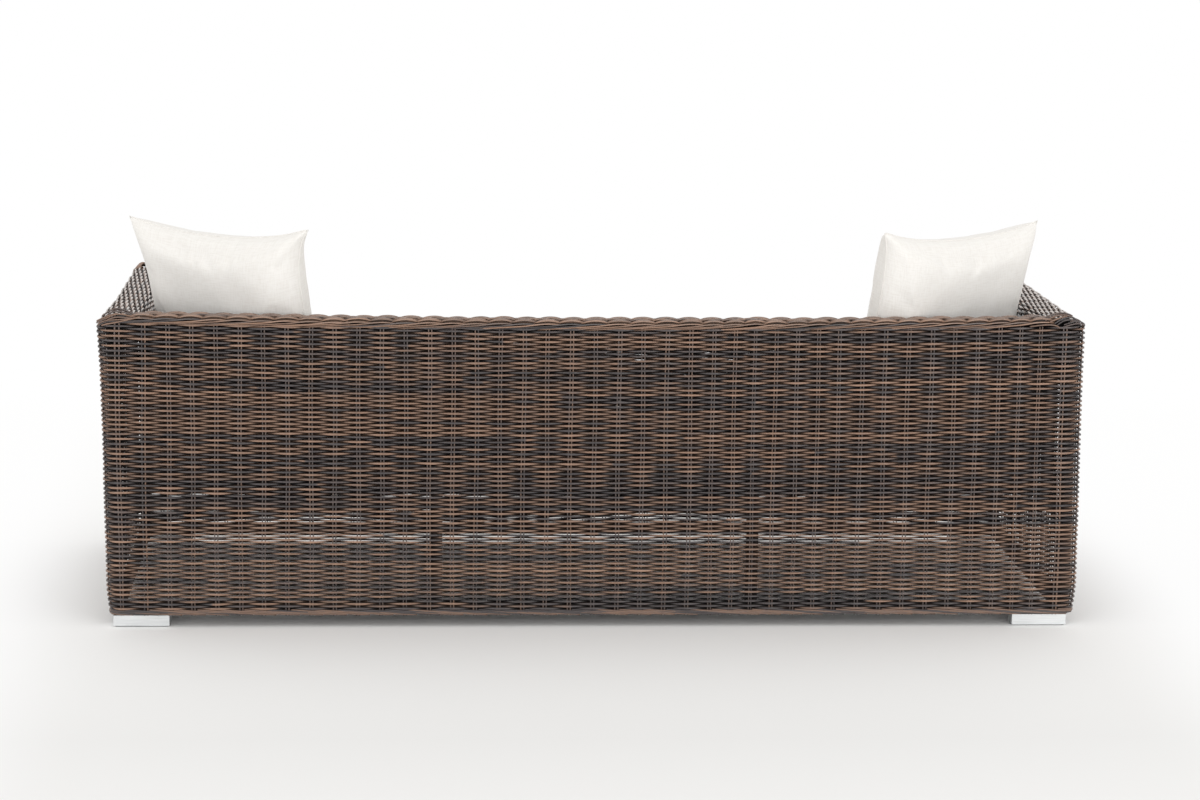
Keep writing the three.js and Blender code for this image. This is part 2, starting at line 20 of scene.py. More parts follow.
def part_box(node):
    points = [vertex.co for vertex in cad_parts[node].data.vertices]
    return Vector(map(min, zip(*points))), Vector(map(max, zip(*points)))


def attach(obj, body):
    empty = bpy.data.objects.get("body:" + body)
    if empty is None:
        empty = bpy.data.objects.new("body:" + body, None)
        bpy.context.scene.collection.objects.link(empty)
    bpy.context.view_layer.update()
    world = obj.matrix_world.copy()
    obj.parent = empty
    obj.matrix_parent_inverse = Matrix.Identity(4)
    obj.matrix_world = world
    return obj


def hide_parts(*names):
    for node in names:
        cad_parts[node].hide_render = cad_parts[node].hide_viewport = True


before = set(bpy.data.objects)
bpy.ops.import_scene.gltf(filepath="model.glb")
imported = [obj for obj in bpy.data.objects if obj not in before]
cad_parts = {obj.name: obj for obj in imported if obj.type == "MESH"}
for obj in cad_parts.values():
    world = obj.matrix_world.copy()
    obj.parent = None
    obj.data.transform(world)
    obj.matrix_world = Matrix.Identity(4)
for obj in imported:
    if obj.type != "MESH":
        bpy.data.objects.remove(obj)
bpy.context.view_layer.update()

log = logging.getLogger("garden_sofa")

MM = 0.001


# Helpers


def linear(hex_colour: str) -> tuple[float, float, float, float]:
    """Turns an sRGB hex colour into a linear one with full opacity.

    Args:
        hex_colour: Six hex digits after a hash.

    Returns:
        Red, green, blue and alpha, from 0 to 1.
    """
    channels = []
    for start in (1, 3, 5):
        value = int(hex_colour[start:start + 2], 16) / 255
        channels.append(value / 12.92 if value <= 0.04045 else ((value + 0.055) / 1.055) ** 2.4)
    return (*channels, 1.0)


def set_node(tree: bpy.types.NodeTree, node: bpy.types.Node, settings: dict) -> None:
    """Sets a node's inputs and properties.

    Args:
        tree: The tree that holds the node.
        node: The node.
        settings: A value, or the socket that gives it, by input name or index or by the
            name of one of the node's own properties.
    """
    for key, value in settings.items():
        if isinstance(value, bpy.types.NodeSocket):
            tree.links.new(value, node.inputs[key])
        elif isinstance(key, str) and key not in node.inputs:
            setattr(node, key, value)
        else:
            node.inputs[key].default_value = value


def add_node(
    tree: bpy.types.NodeTree, kind: str, settings: dict | None = None,
) -> bpy.types.bpy_prop_collection:
    """Adds a node, sets it and links its inputs.

    Args:
        tree: The tree that gets the node.
        kind: The node's type name, without the word ShaderNode.
        settings: What set_node takes.

    Returns:
        The new node's outputs.
    """
    node = tree.nodes.new(f"ShaderNode{kind}")
    set_node(tree, node, settings or {})
    return node.outputs


def calculate(
    tree: bpy.types.NodeTree, operation: str, *values: float | bpy.types.NodeSocket,
    clamp: bool = False,
) -> bpy.types.NodeSocket:
    """Adds a math node.

    Args:
        tree: The tree that gets the node.
        operation: What the node does.
        values: Its inputs in order, each a number or a socket.
        clamp: Whether the result stays between 0 and 1.

    Returns:
        The result's socket.
    """
    settings = {"operation": operation, "use_clamp": clamp, **dict(enumerate(values))}
    return add_node(tree, "Math", settings)[0]


def multiply(
    tree: bpy.types.NodeTree, vector: bpy.types.NodeSocket, factors: tuple[float, float, float],
) -> bpy.types.NodeSocket:
    """Multiplies a vector's three parts by three factors."""
    return add_node(tree, "VectorMath", {"operation": "MULTIPLY", 0: vector, 1: factors})[0]


def add_noise(
    tree: bpy.types.NodeTree, vector: bpy.types.NodeSocket, scale: float = 1.0,
    detail: float = 2.0, roughness: float = 0.5,
) -> bpy.types.NodeSocket:
    """Adds soft noise that is read at a vector."""
    return add_node(tree, "TexNoise", {
        "Vector": vector, "Scale": scale, "Detail": detail, "Roughness": roughness,
    })["Fac"]


def add_bump(
    tree: bpy.types.NodeTree, height: bpy.types.NodeSocket, strength: float, distance: float,
) -> bpy.types.NodeSocket:
    """Adds a bump of a strength and a depth in metres."""
    settings = {"Height": height, "Strength": strength, "Distance": distance}
    return add_node(tree, "Bump", settings)[0]


def add_ramp(
    tree: bpy.types.NodeTree, factor: bpy.types.NodeSocket, *stops: tuple[float, str],
) -> bpy.types.NodeSocket:
    """Adds a colour ramp.

    Args:
        tree: The tree that gets the ramp.
        factor: The socket that drives it.
        stops: Places from 0 to 1, each with its hex colour.

    Returns:
        The ramp's colour socket.
    """
    ramp = tree.nodes.new("ShaderNodeValToRGB")
    elements = ramp.color_ramp.elements
    while len(elements) < len(stops):
        elements.new(0.5)
    for element, (place, colour) in zip(elements, stops):
        element.position = place
        element.color = linear(colour)
    set_node(tree, ramp, {"Fac": factor})
    return ramp.outputs["Color"]


def object_place(tree: bpy.types.NodeTree) -> bpy.types.NodeSocket:
    """Returns the socket with the place on the object, in metres."""
    return add_node(tree, "TexCoord")["Object"]


def deselect_all() -> None:
    """Leaves edit mode and clears the selection."""
    if bpy.context.object and bpy.context.object.mode != "OBJECT":
        bpy.ops.object.mode_set(mode="OBJECT")
    bpy.ops.object.select_all(action="DESELECT")


def make_active(piece: bpy.types.Object) -> None:
    """Makes a piece the only selected one, and the active one."""
    deselect_all()
    piece.select_set(True)
    bpy.context.view_layer.objects.active = piece


@contextmanager
def editing(piece: bpy.types.Object) -> Iterator[None]:
    """Edits a piece's mesh with all of it selected, then returns to object mode."""
    make_active(piece)
    bpy.ops.object.mode_set(mode="EDIT")
    bpy.ops.mesh.select_all(action="SELECT")
    yield
    bpy.ops.object.mode_set(mode="OBJECT")


def close_ends() -> None:
    """Closes all open ends of the mesh in edit mode and turns its faces outwards."""
    bpy.ops.mesh.select_all(action="SELECT")
    bpy.ops.mesh.fill_holes(sides=0)
    bpy.ops.mesh.select_all(action="SELECT")
    bpy.ops.mesh.normals_make_consistent(inside=False)


def shade_round(piece: bpy.types.Object) -> None:
    """Shades a piece smoothly, apart from its strands' cut ends."""
    make_active(piece)
    bpy.ops.object.shade_smooth_by_angle(angle=math.radians(75))


def shift(x: float = 0.0, y: float = 0.0, z: float = 0.0) -> dict[str, dict]:
    """Returns what moves an extruded or copied part by a step."""
    return {"TRANSFORM_OT_translate": {"value": (x, y, z)}}


def draw_round(
    name: str, lines: list[np.ndarray], radius: float, closed: bool = False,
) -> bpy.types.Object:
    """Draws lines as round bevelled curves and makes them one mesh.

    Args:
        name: The mesh's name.
        lines: The points of each line.
        radius: How thick the curves are.
        closed: Whether each line runs back to its start.

    Returns:
        The mesh, with open ends.
    """
    curve = bpy.data.curves.new(name, "CURVE")
    curve.dimensions = "3D"
    curve.bevel_depth = radius
    curve.bevel_resolution = 1
    for line in lines:
        spline = curve.splines.new("POLY")
        spline.points.add(len(line) - 1)
        places = np.column_stack([line, np.ones(len(line))])
        spline.points.foreach_set("co", places.ravel().tolist())
        spline.use_cyclic_u = closed
    drawn = bpy.data.objects.new(name, curve)
    bpy.context.scene.collection.objects.link(drawn)
    make_active(drawn)
    bpy.ops.object.convert(target="MESH")
    return named(bpy.context.object, name)


def named(piece: bpy.types.Object, name: str) -> bpy.types.Object:
    """Names a piece and its mesh, and returns the piece."""
    piece.name = piece.data.name = name
    return piece


def apply_modifiers(piece: bpy.types.Object) -> None:
    """Applies every modifier of a piece, in order."""
    make_active(piece)
    for modifier in list(piece.modifiers):
        bpy.ops.object.modifier_apply(modifier=modifier.name)


def apply_place(piece: bpy.types.Object) -> None:
    """Moves a piece's place, turn and size into its mesh."""
    make_active(piece)
    bpy.ops.object.transform_apply(location=True, rotation=True, scale=True)


def points_of(piece: bpy.types.Object) -> np.ndarray:
    """Returns a piece's mesh points as rows of x, y and z."""
    flat = np.empty(len(piece.data.vertices) * 3, np.float32)
    piece.data.vertices.foreach_get("co", flat)
    return flat.reshape(-1, 3).astype(float)


def move_points(piece: bpy.types.Object, points: np.ndarray) -> None:
    """Puts a piece's mesh points at new places."""
    piece.data.vertices.foreach_set("co", points.astype(np.float32).ravel())
    piece.data.update()


def set_attribute(piece: bpy.types.Object, name: str, values: np.ndarray) -> None:
    """Stores a number or a vector for every point of a piece.

    Args:
        piece: The piece whose mesh gets the attribute.
        name: The attribute's name.
        values: One number for each point, or three.
    """
    many = values.ndim > 1
    kind = "FLOAT_VECTOR" if many else "FLOAT"
    attribute = piece.data.attributes.new(name, kind, "POINT")
    attribute.data.foreach_set("vector" if many else "value", values.astype(np.float32).ravel())


def dress(piece: bpy.types.Object, material: bpy.types.Material) -> None:
    """Gives a piece one material all over."""
    piece.data.materials.clear()
    piece.data.materials.append(material)


def smoothstep(low: float, high: float, value: np.ndarray) -> np.ndarray:
    """Rises smoothly from 0 at the low value to 1 at the high one."""
    share = np.clip((value - low) / (high - low), 0, 1)
    return share * share * (3 - 2 * share)


# Finishes


class PaleCloth(Enum):
    """The two pale cloths: the colour of the yarn, and of its darker slubs."""

    SEAT = ("#e6e1d9", "#d6d0c6")
    PILLOW = ("#edebe7", "#e6e3de")


@dataclass(frozen=True)
class Finish:
    """A finish with its own material."""

    name: str

    def material(self) -> bpy.types.Material:
        """Makes the material and hands its tree and shader to the finish.

        Returns:
            The finished material.
        """
        made = bpy.data.materials.new(self.name)
        made.use_nodes = True
        tree = made.node_tree
        self.paint(tree, tree.nodes["Principled BSDF"])
        return made

    def paint(self, tree: bpy.types.NodeTree, shader: bpy.types.Node) -> None:
        """Adds the finish's nodes to the shader."""
        raise NotImplementedError


@dataclass(frozen=True)
class ExtrudedCane(Finish):
    """Round polyethylene cane, extruded in two colours and drawn through a grooved die.

    It looks like peeled wicker: brown and charcoal strands side by side, each with faint
    streaks along it. Its colour also carries painted light and shade: where a strand dives
    behind the stakes its colour is scaled down as painted shade and its gloss turned down,
    and on the crests along the arms' tops it is mixed towards pale as a painted highlight.
    """

    roughness: float = 0.31
    groove_depth: float = 0.12 * MM
    streaks_apart: tuple[float, float, float] = (14 * MM, 2.2, 7.31)
    grooves_apart: tuple[float, float, float] = (42 * MM, 9.0, 5.7)
    # The pale colour of the painted highlight on the arms' crests.
    highlight_paint: str = "#d6cec8"

    def paint(self, tree: bpy.types.NodeTree, shader: bpy.types.Node) -> None:
        """Colours each strand by its own tone and streaks it along its length.

        The painted light value then scales the colour down as painted shade below 1 and
        mixes it towards pale as a painted highlight above 1.
        """
        tone, strand, painted_light = (
            add_node(tree, "Attribute", {"attribute_name": name})
            for name in ("tone", "strand", "painted_light")
        )
        painted_light = painted_light["Fac"]
        length, turn, row = self.streaks_apart
        streaks = add_noise(
            tree, multiply(tree, strand["Vector"], (1 / length, turn, row)), roughness=0.55,
        )
        shifted = calculate(tree, "MULTIPLY_ADD", streaks, 0.5, -0.25)
        mixed = calculate(tree, "ADD", tone["Fac"], shifted, clamp=True)
        colour = add_ramp(tree, mixed, (0.0, "#2f2c2c"), (0.3, "#4b4545"), (0.5, "#635651"),
                          (0.72, "#7f6555"), (1.0, "#9c7c68"))
        # Painted shade: the colour is scaled down where the painted light value is below 1.
        shaded = add_node(tree, "VectorMath", {
            "operation": "SCALE", 0: colour, "Scale": calculate(tree, "MINIMUM", painted_light, 1.0),
        })
        # Painted highlight: above 1 the colour is mixed towards the pale highlight colour.
        highlight_paint = add_node(tree, "MixRGB", {
            "Fac": calculate(tree, "SUBTRACT", painted_light, 1.0, clamp=True),
            "Color1": shaded[0], "Color2": linear(self.highlight_paint),
        })
        length, turn, row = self.grooves_apart
        grooves = add_noise(
            tree, multiply(tree, strand["Vector"], (1 / length, turn, row)), detail=1.0,
        )
        set_node(tree, shader, {
            "Base Color": highlight_paint[0],
            "Specular IOR Level": calculate(tree, "MULTIPLY", painted_light, 0.5),
            "Roughness": calculate(tree, "MULTIPLY_ADD", streaks, 0.22, self.roughness - 0.11),
            "Normal": add_bump(tree, grooves, 0.6, self.groove_depth),
        })


@dataclass(frozen=True)
class PowderCoat(Finish):
    """Aluminium tube, powder coated in dark brown: matt, with a fine orange peel."""

    peel: float = 0.9 * MM

    def paint(self, tree: bpy.types.NodeTree, shader: bpy.types.Node) -> None:
        """Gives the coat its peel and a slight unevenness."""
        place = object_place(tree)
        peel = add_noise(tree, place, 1 / self.peel, 1.0)
        cloud = add_noise(tree, place, 22.0)
        set_node(tree, shader, {
            "Base Color": add_ramp(tree, cloud, (0.3, "#352b27"), (0.7, "#453934")),
            "Roughness": 0.52,
            "Normal": add_bump(tree, peel, 0.35, 0.05 * MM),
        })


@dataclass(frozen=True)
class BrushedAluminium(Finish):
    """Cast aluminium feet, brushed lengthwise and clear anodised.

    The brushing draws highlights out into level bands and leaves hair lines about 0.3 mm
    apart, drawn here at 0.8 mm so that they show.
    """

    hairline: float = 0.8 * MM
    run: float = 60 * MM

    def paint(self, tree: bpy.types.NodeTree, shader: bpy.types.Node) -> None:
        """Streaks the metal along the foot's length."""
        across = 1 / self.hairline
        along = multiply(tree, object_place(tree), (1 / self.run, across, across))
        lines = add_noise(tree, along, detail=3.0, roughness=0.6)
        set_node(tree, shader, {
            "Base Color": add_ramp(tree, lines, (0.3, "#d6d9da"), (0.7, "#f4f6f7")),
            "Roughness": calculate(tree, "MULTIPLY_ADD", lines, 0.2, 0.26),
            "Metallic": 1.0,
            "Normal": add_bump(tree, lines, 0.25, 0.04 * MM),
        })


@dataclass(frozen=True)
class MouldedGlide(Finish):
    """Black polyethylene glide, injection moulded: dull, with scuffs from the floor."""

    def paint(self, tree: bpy.types.NodeTree, shader: bpy.types.Node) -> None:
        """Scuffs the plastic lightly."""
        scuffs = add_noise(tree, object_place(tree), 160.0, 4.0)
        set_node(tree, shader, {
            "Base Color": add_ramp(tree, scuffs, (0.45, "#1d1d1e"), (0.75, "#38383a")),
            "Roughness": 0.6,
            "Normal": add_bump(tree, scuffs, 0.3, 0.06 * MM),
        })


@dataclass(frozen=True)
class ZincPlatedSteel(Finish):
    """Turned steel screw, zinc plated: cool grey with a faint cloudiness."""

    cloud: float = 3 * MM

    def paint(self, tree: bpy.types.NodeTree, shader: bpy.types.Node) -> None:
        """Clouds the plating."""
        cloud = add_noise(tree, object_place(tree), 1 / self.cloud)
        set_node(tree, shader, {
            "Base Color": add_ramp(tree, cloud, (0.3, "#9da0a2"), (0.7, "#c2c4c6")),
            "Metallic": 1.0,
            "Roughness": 0.36,
        })


@dataclass(frozen=True)
class WovenCover(Finish):
    """Polyester cover cloth in a plain weave of slubbed yarn.

    The yarns give a fine even grain about 0.9 mm apart, drawn here at 1.8 mm so that it
    shows, thicker slubs streak it both ways, and the fibre ends make a dry soft sheen.
    """

    cloth: PaleCloth = PaleCloth.SEAT
    yarn: float = 1.8 * MM
    slub: float = 26 * MM
    depth: float = 0.22 * MM

    def paint(self, tree: bpy.types.NodeTree, shader: bpy.types.Node) -> None:
        """Weaves the cloth along the piece's own UV map."""
        panel = add_node(tree, "UVMap", {"uv_map": "cloth"})["UV"]
        stretch = (1 / self.slub, 1 / self.yarn / 1.5)
        grains, slubs = [], []
        for turn, pull in (((1.0, 0.0, 0.0), stretch), ((0.0, 1.0, 0.0), stretch[::-1])):
            across = add_node(
                tree, "VectorMath", {"operation": "DOT_PRODUCT", 0: panel, 1: turn},
            )["Value"]
            phase = calculate(tree, "MULTIPLY", across, math.pi / self.yarn)
            grains.append(calculate(tree, "SINE", phase))
            slubs.append(add_noise(tree, multiply(tree, panel, (*pull, 0.0))))
        grain = calculate(tree, "MULTIPLY", *grains)
        slub = calculate(tree, "ADD", *slubs)
        height = calculate(tree, "MULTIPLY_ADD", grain, 0.35, slub)
        base, darker = self.cloth.value
        shade = calculate(tree, "MULTIPLY", slub, 0.5)
        set_node(tree, shader, {
            "Base Color": add_ramp(tree, shade, (0.36, darker), (0.56, base)),
            "Roughness": 0.9,
            "Specular IOR Level": 0.25,
            "Sheen Weight": 0.15,
            "Normal": add_bump(tree, height, 0.55, self.depth),
        })


# Lines that the weave follows


@dataclass(frozen=True)
class Route:
    """A flat line of straights and bends, read by its length, with its left side outwards."""

    start: tuple[float, float]
    heading: float
    parts: tuple[tuple[float, float], ...]

    @property
    def length(self) -> float:
        """The whole length."""
        return sum(length for length, _ in self.parts)

    def at(self, along: np.ndarray) -> tuple[np.ndarray, np.ndarray]:
        """Reads places on the line.

        Args:
            along: Lengths from the start. Those past an end go straight on.

        Returns:
            The places and the outward directions, a row for each length.
        """
        places = np.empty((len(along), 2))
        outward = np.empty((len(along), 2))
        position, heading, begun = np.array(self.start), self.heading, 0.0
        for index, (length, turn) in enumerate(self.parts):
            chosen = np.ones(len(along), bool)
            if index:
                chosen &= along >= begun
            if index + 1 < len(self.parts):
                chosen &= along < begun + length
            step = along[chosen] - begun
            angle = heading + turn * step / length
            places[chosen] = position + self.moved(step, length, heading, turn)
            outward[chosen] = np.column_stack([-np.sin(angle), np.cos(angle)])
            position = position + self.moved(np.array([length]), length, heading, turn)[0]
            heading += turn
            begun += length
        return places, outward

    @staticmethod
    def moved(step: np.ndarray, length: float, heading: float, turn: float) -> np.ndarray:
        """Works out how far a step along one part leads.

        Args:
            step: Lengths from the start of the part.
            length: The part's whole length.
            heading: The direction at its start.
            turn: The angle that it turns by, positive to the left.

        Returns:
            A row for each step.
        """
        if not turn:
            return np.outer(step, (math.cos(heading), math.sin(heading)))
        radius = length / turn
        angle = heading + turn * step / length
        return radius * np.column_stack(
            [np.sin(angle) - math.sin(heading), math.cos(heading) - np.cos(angle)]
        )


def bend(radius: float, degrees: float) -> tuple[float, float]:
    """Returns a route's part that turns by an angle, positive to the left."""
    turn = math.radians(degrees)
    return radius * abs(turn), turn


@dataclass(frozen=True)
class Wall:
    """A standing wall: strands run along a plan line and stack upwards."""

    plan: Route
    bottom: float

    def place(self, flat: np.ndarray) -> np.ndarray:
        """Wraps flat places, along, outwards and up, round the wall."""
        places, outward = self.plan.at(flat[:, 0])
        return np.column_stack([places + outward * flat[:, 1:2], self.bottom + flat[:, 2]])


@dataclass(frozen=True)
class ArmWrap:
    """An arm's skin: strands run front to back and stack up the outside, over and down."""

    profile: Route
    side: int
    front: float
    rear: float

    def place(self, flat: np.ndarray) -> np.ndarray:
        """Wraps flat places round the arm, on the given side of the sofa."""
        places, outward = self.profile.at(flat[:, 2])
        wrapped = places + outward * flat[:, 1:2]
        along = self.front + flat[:, 0] if self.side < 0 else self.rear - flat[:, 0]
        return np.column_stack([-self.side * wrapped[:, 0], along, wrapped[:, 1]])


@dataclass(frozen=True)
class Deck:
    """The level seat deck: strands run across the sofa and stack towards the back."""

    left: float
    front: float
    top: float

    def place(self, flat: np.ndarray) -> np.ndarray:
        """Lays flat places on the deck."""
        return np.column_stack(
            [self.left + flat[:, 0], self.front + flat[:, 2], self.top + flat[:, 1]]
        )


@dataclass(frozen=True)
class ArmCap:
    """The rounded front of an arm: its rows climb the face, roll over the edge and lie flat."""

    plan: Route
    bottom: float
    straight: float
    radius: float

    def place(self, flat: np.ndarray) -> np.ndarray:
        """Wraps flat places round the arm's front end and over its top edge."""
        places, outward = self.plan.at(flat[:, 0])
        climb = flat[:, 2]
        turn = np.clip((climb - self.straight) / self.radius, 0, math.pi / 2)
        past = np.maximum(climb - self.straight - self.radius * math.pi / 2, 0)
        inward = self.radius * (1 - np.cos(turn)) + past
        up = np.minimum(climb, self.straight) + self.radius * np.sin(turn)
        inward = inward - flat[:, 1] * np.cos(turn)
        up = up + flat[:, 1] * np.sin(turn)
        return np.column_stack([places - outward * inward[:, None], self.bottom + up])


# Sizes that the pieces share


@dataclass(frozen=True)
class SofaSizes:
    """The sofa's own sizes, the same as in its solids."""

    half_length: float = 1050 * MM
    half_depth: float = 430 * MM
    arm_height: float = 658 * MM
    arm_width: float = 84 * MM
    deck_height: float = 290 * MM
    skin: float = 10 * MM
    corner: float = 25 * MM
    arm_edge: float = 16 * MM
    frame_bottom: float = 25.3 * MM
    back_inner: float = 377.96 * MM
    border_bottom: float = 648 * MM
    border_height: float = 24 * MM
    gap: float = 0.3 * MM
    corner_rise: float = 10.5 * MM
    climbs: tuple[float, ...] = (0, 0.02, 0.06, 0.1, 0.25, 0.4, 0.56, 0.69, 0.85, 0.98, 1, 1.04)
    spread_left: tuple[float, ...] = (-1.5, -0.8, 3, 5, 4.3, 4, 2.2, 1.6, 1.2, 2, 0.5, 0.5)
    spread_right: tuple[float, ...] = (
        -9, -7.8, -4.6, -2.9, -1.6, 0.6, 1.6, 3.8, 6.4, 11.5, 10, 0,
    )
    drift_places: tuple[float, ...] = (
        -1.05, -1.021, -0.972, -0.9185, -0.871, -0.77, -0.53, -0.431, -0.334, -0.285, -0.186,
        -0.037, 0.062, 0.815, 0.916, 1.0135, 1.05,
    )
    drift: tuple[float, ...] = (
        0, 12.8, 16, 8.5, 3, 1, 3, -6, -11.5, -20.5, -26.5, -22, -18, -8.5, -8, -2, 0,
    )

    @property
    def arm_inner(self) -> float:
        """How far the arms' inner faces are from the middle."""
        return self.half_length - self.arm_width

    @property
    def lining_face(self) -> float:
        """How far back the cushions and the arms' skins may reach, just short of the lining."""
        return self.back_inner - self.gap

    def woven_at(self, x: float) -> float:
        """Returns where a place of the back was before the weave drifted."""
        moved = np.array(self.drift_places) + np.array(self.drift) * MM
        return float(np.interp(x, moved, self.drift_places))

    @property
    def front_joint(self) -> float:
        """Where the arms' skins meet the front wall."""
        return -self.half_depth + self.corner

    def settle(self, points: np.ndarray) -> np.ndarray:
        """Lets the woven skins sag between the ends, spread at the top and stand unevenly.

        Args:
            points: Places on the woven skins.

        Returns:
            The places after years of use.
        """
        x, y, z = points.T
        uneven = smoothstep(0.93 * self.half_depth, 0.97 * self.half_depth, y)
        x = x + np.interp(x, self.drift_places, self.drift) * MM * uneven
        climb = (z - self.frame_bottom) / (self.border_bottom - self.frame_bottom)
        rise = self.corner_rise * climb * (np.abs(x) / self.half_length) ** 2.3
        spread = np.where(
            x < 0, -np.interp(climb, self.climbs, self.spread_left),
            np.interp(climb, self.climbs, self.spread_right),
        )
        spread *= smoothstep(0.955 * self.half_length, 0.99 * self.half_length, np.abs(x))
        spread *= smoothstep(0.1 * self.half_depth, 0.88 * self.half_depth, y)
        return np.column_stack([x + spread * MM, y, z + rise])


SIZES = SofaSizes()


def back_plan() -> Route:
    """Returns the plan of the back, from one arm round both corners to the other."""
    reach = SIZES.half_depth - SIZES.corner - SIZES.back_inner
    return Route((-SIZES.half_length, SIZES.back_inner), math.pi / 2, (
        (reach, 0.0), bend(SIZES.corner, -90),
        (2 * (SIZES.half_length - SIZES.corner), 0.0), bend(SIZES.corner, -90), (reach, 0.0),
    ))


def lining_plan() -> Route:
    """Returns the plan of the back's lining, from the right arm to the left one."""
    reach = SIZES.arm_inner
    return Route((reach, SIZES.back_inner), math.pi, ((2 * reach, 0.0),))


def front_plan() -> Route:
    """Returns the plan of the front wall, from the right arm to the left one."""
    return Route((SIZES.half_length, SIZES.front_joint), -math.pi / 2, (
        bend(SIZES.corner, -90), (2 * (SIZES.half_length - SIZES.corner), 0.0),
        bend(SIZES.corner, -90),
    ))


def arm_end_plan(side: int) -> Route:
    """Returns the plan of an arm's front end, read with its left side outwards."""
    face = SIZES.arm_width - SIZES.corner - SIZES.arm_edge
    inner_return = SIZES.corner - SIZES.arm_edge
    outer, inner = bend(SIZES.corner, -90), bend(SIZES.arm_edge, -90)
    if side > 0:
        return Route((SIZES.half_length, SIZES.front_joint), -math.pi / 2,
                     (outer, (face, 0.0), inner, (inner_return, 0.0)))
    return Route((-SIZES.arm_inner, SIZES.front_joint), -math.pi / 2,
                 ((inner_return, 0.0), inner, (face, 0.0), outer))


def arm_profile() -> Route:
    """Returns an arm's outline from its outer foot, over the top, down to the deck."""
    outer = SIZES.arm_height - SIZES.arm_edge - SIZES.frame_bottom
    inner = SIZES.arm_height - SIZES.arm_edge - SIZES.deck_height
    top = SIZES.arm_width - 2 * SIZES.arm_edge
    return Route((-SIZES.half_length, SIZES.frame_bottom), math.pi / 2, (
        (outer, 0.0), bend(SIZES.arm_edge, -90), (top, 0.0), bend(SIZES.arm_edge, -90),
        (inner, 0.0),
    ))


# Woven skins


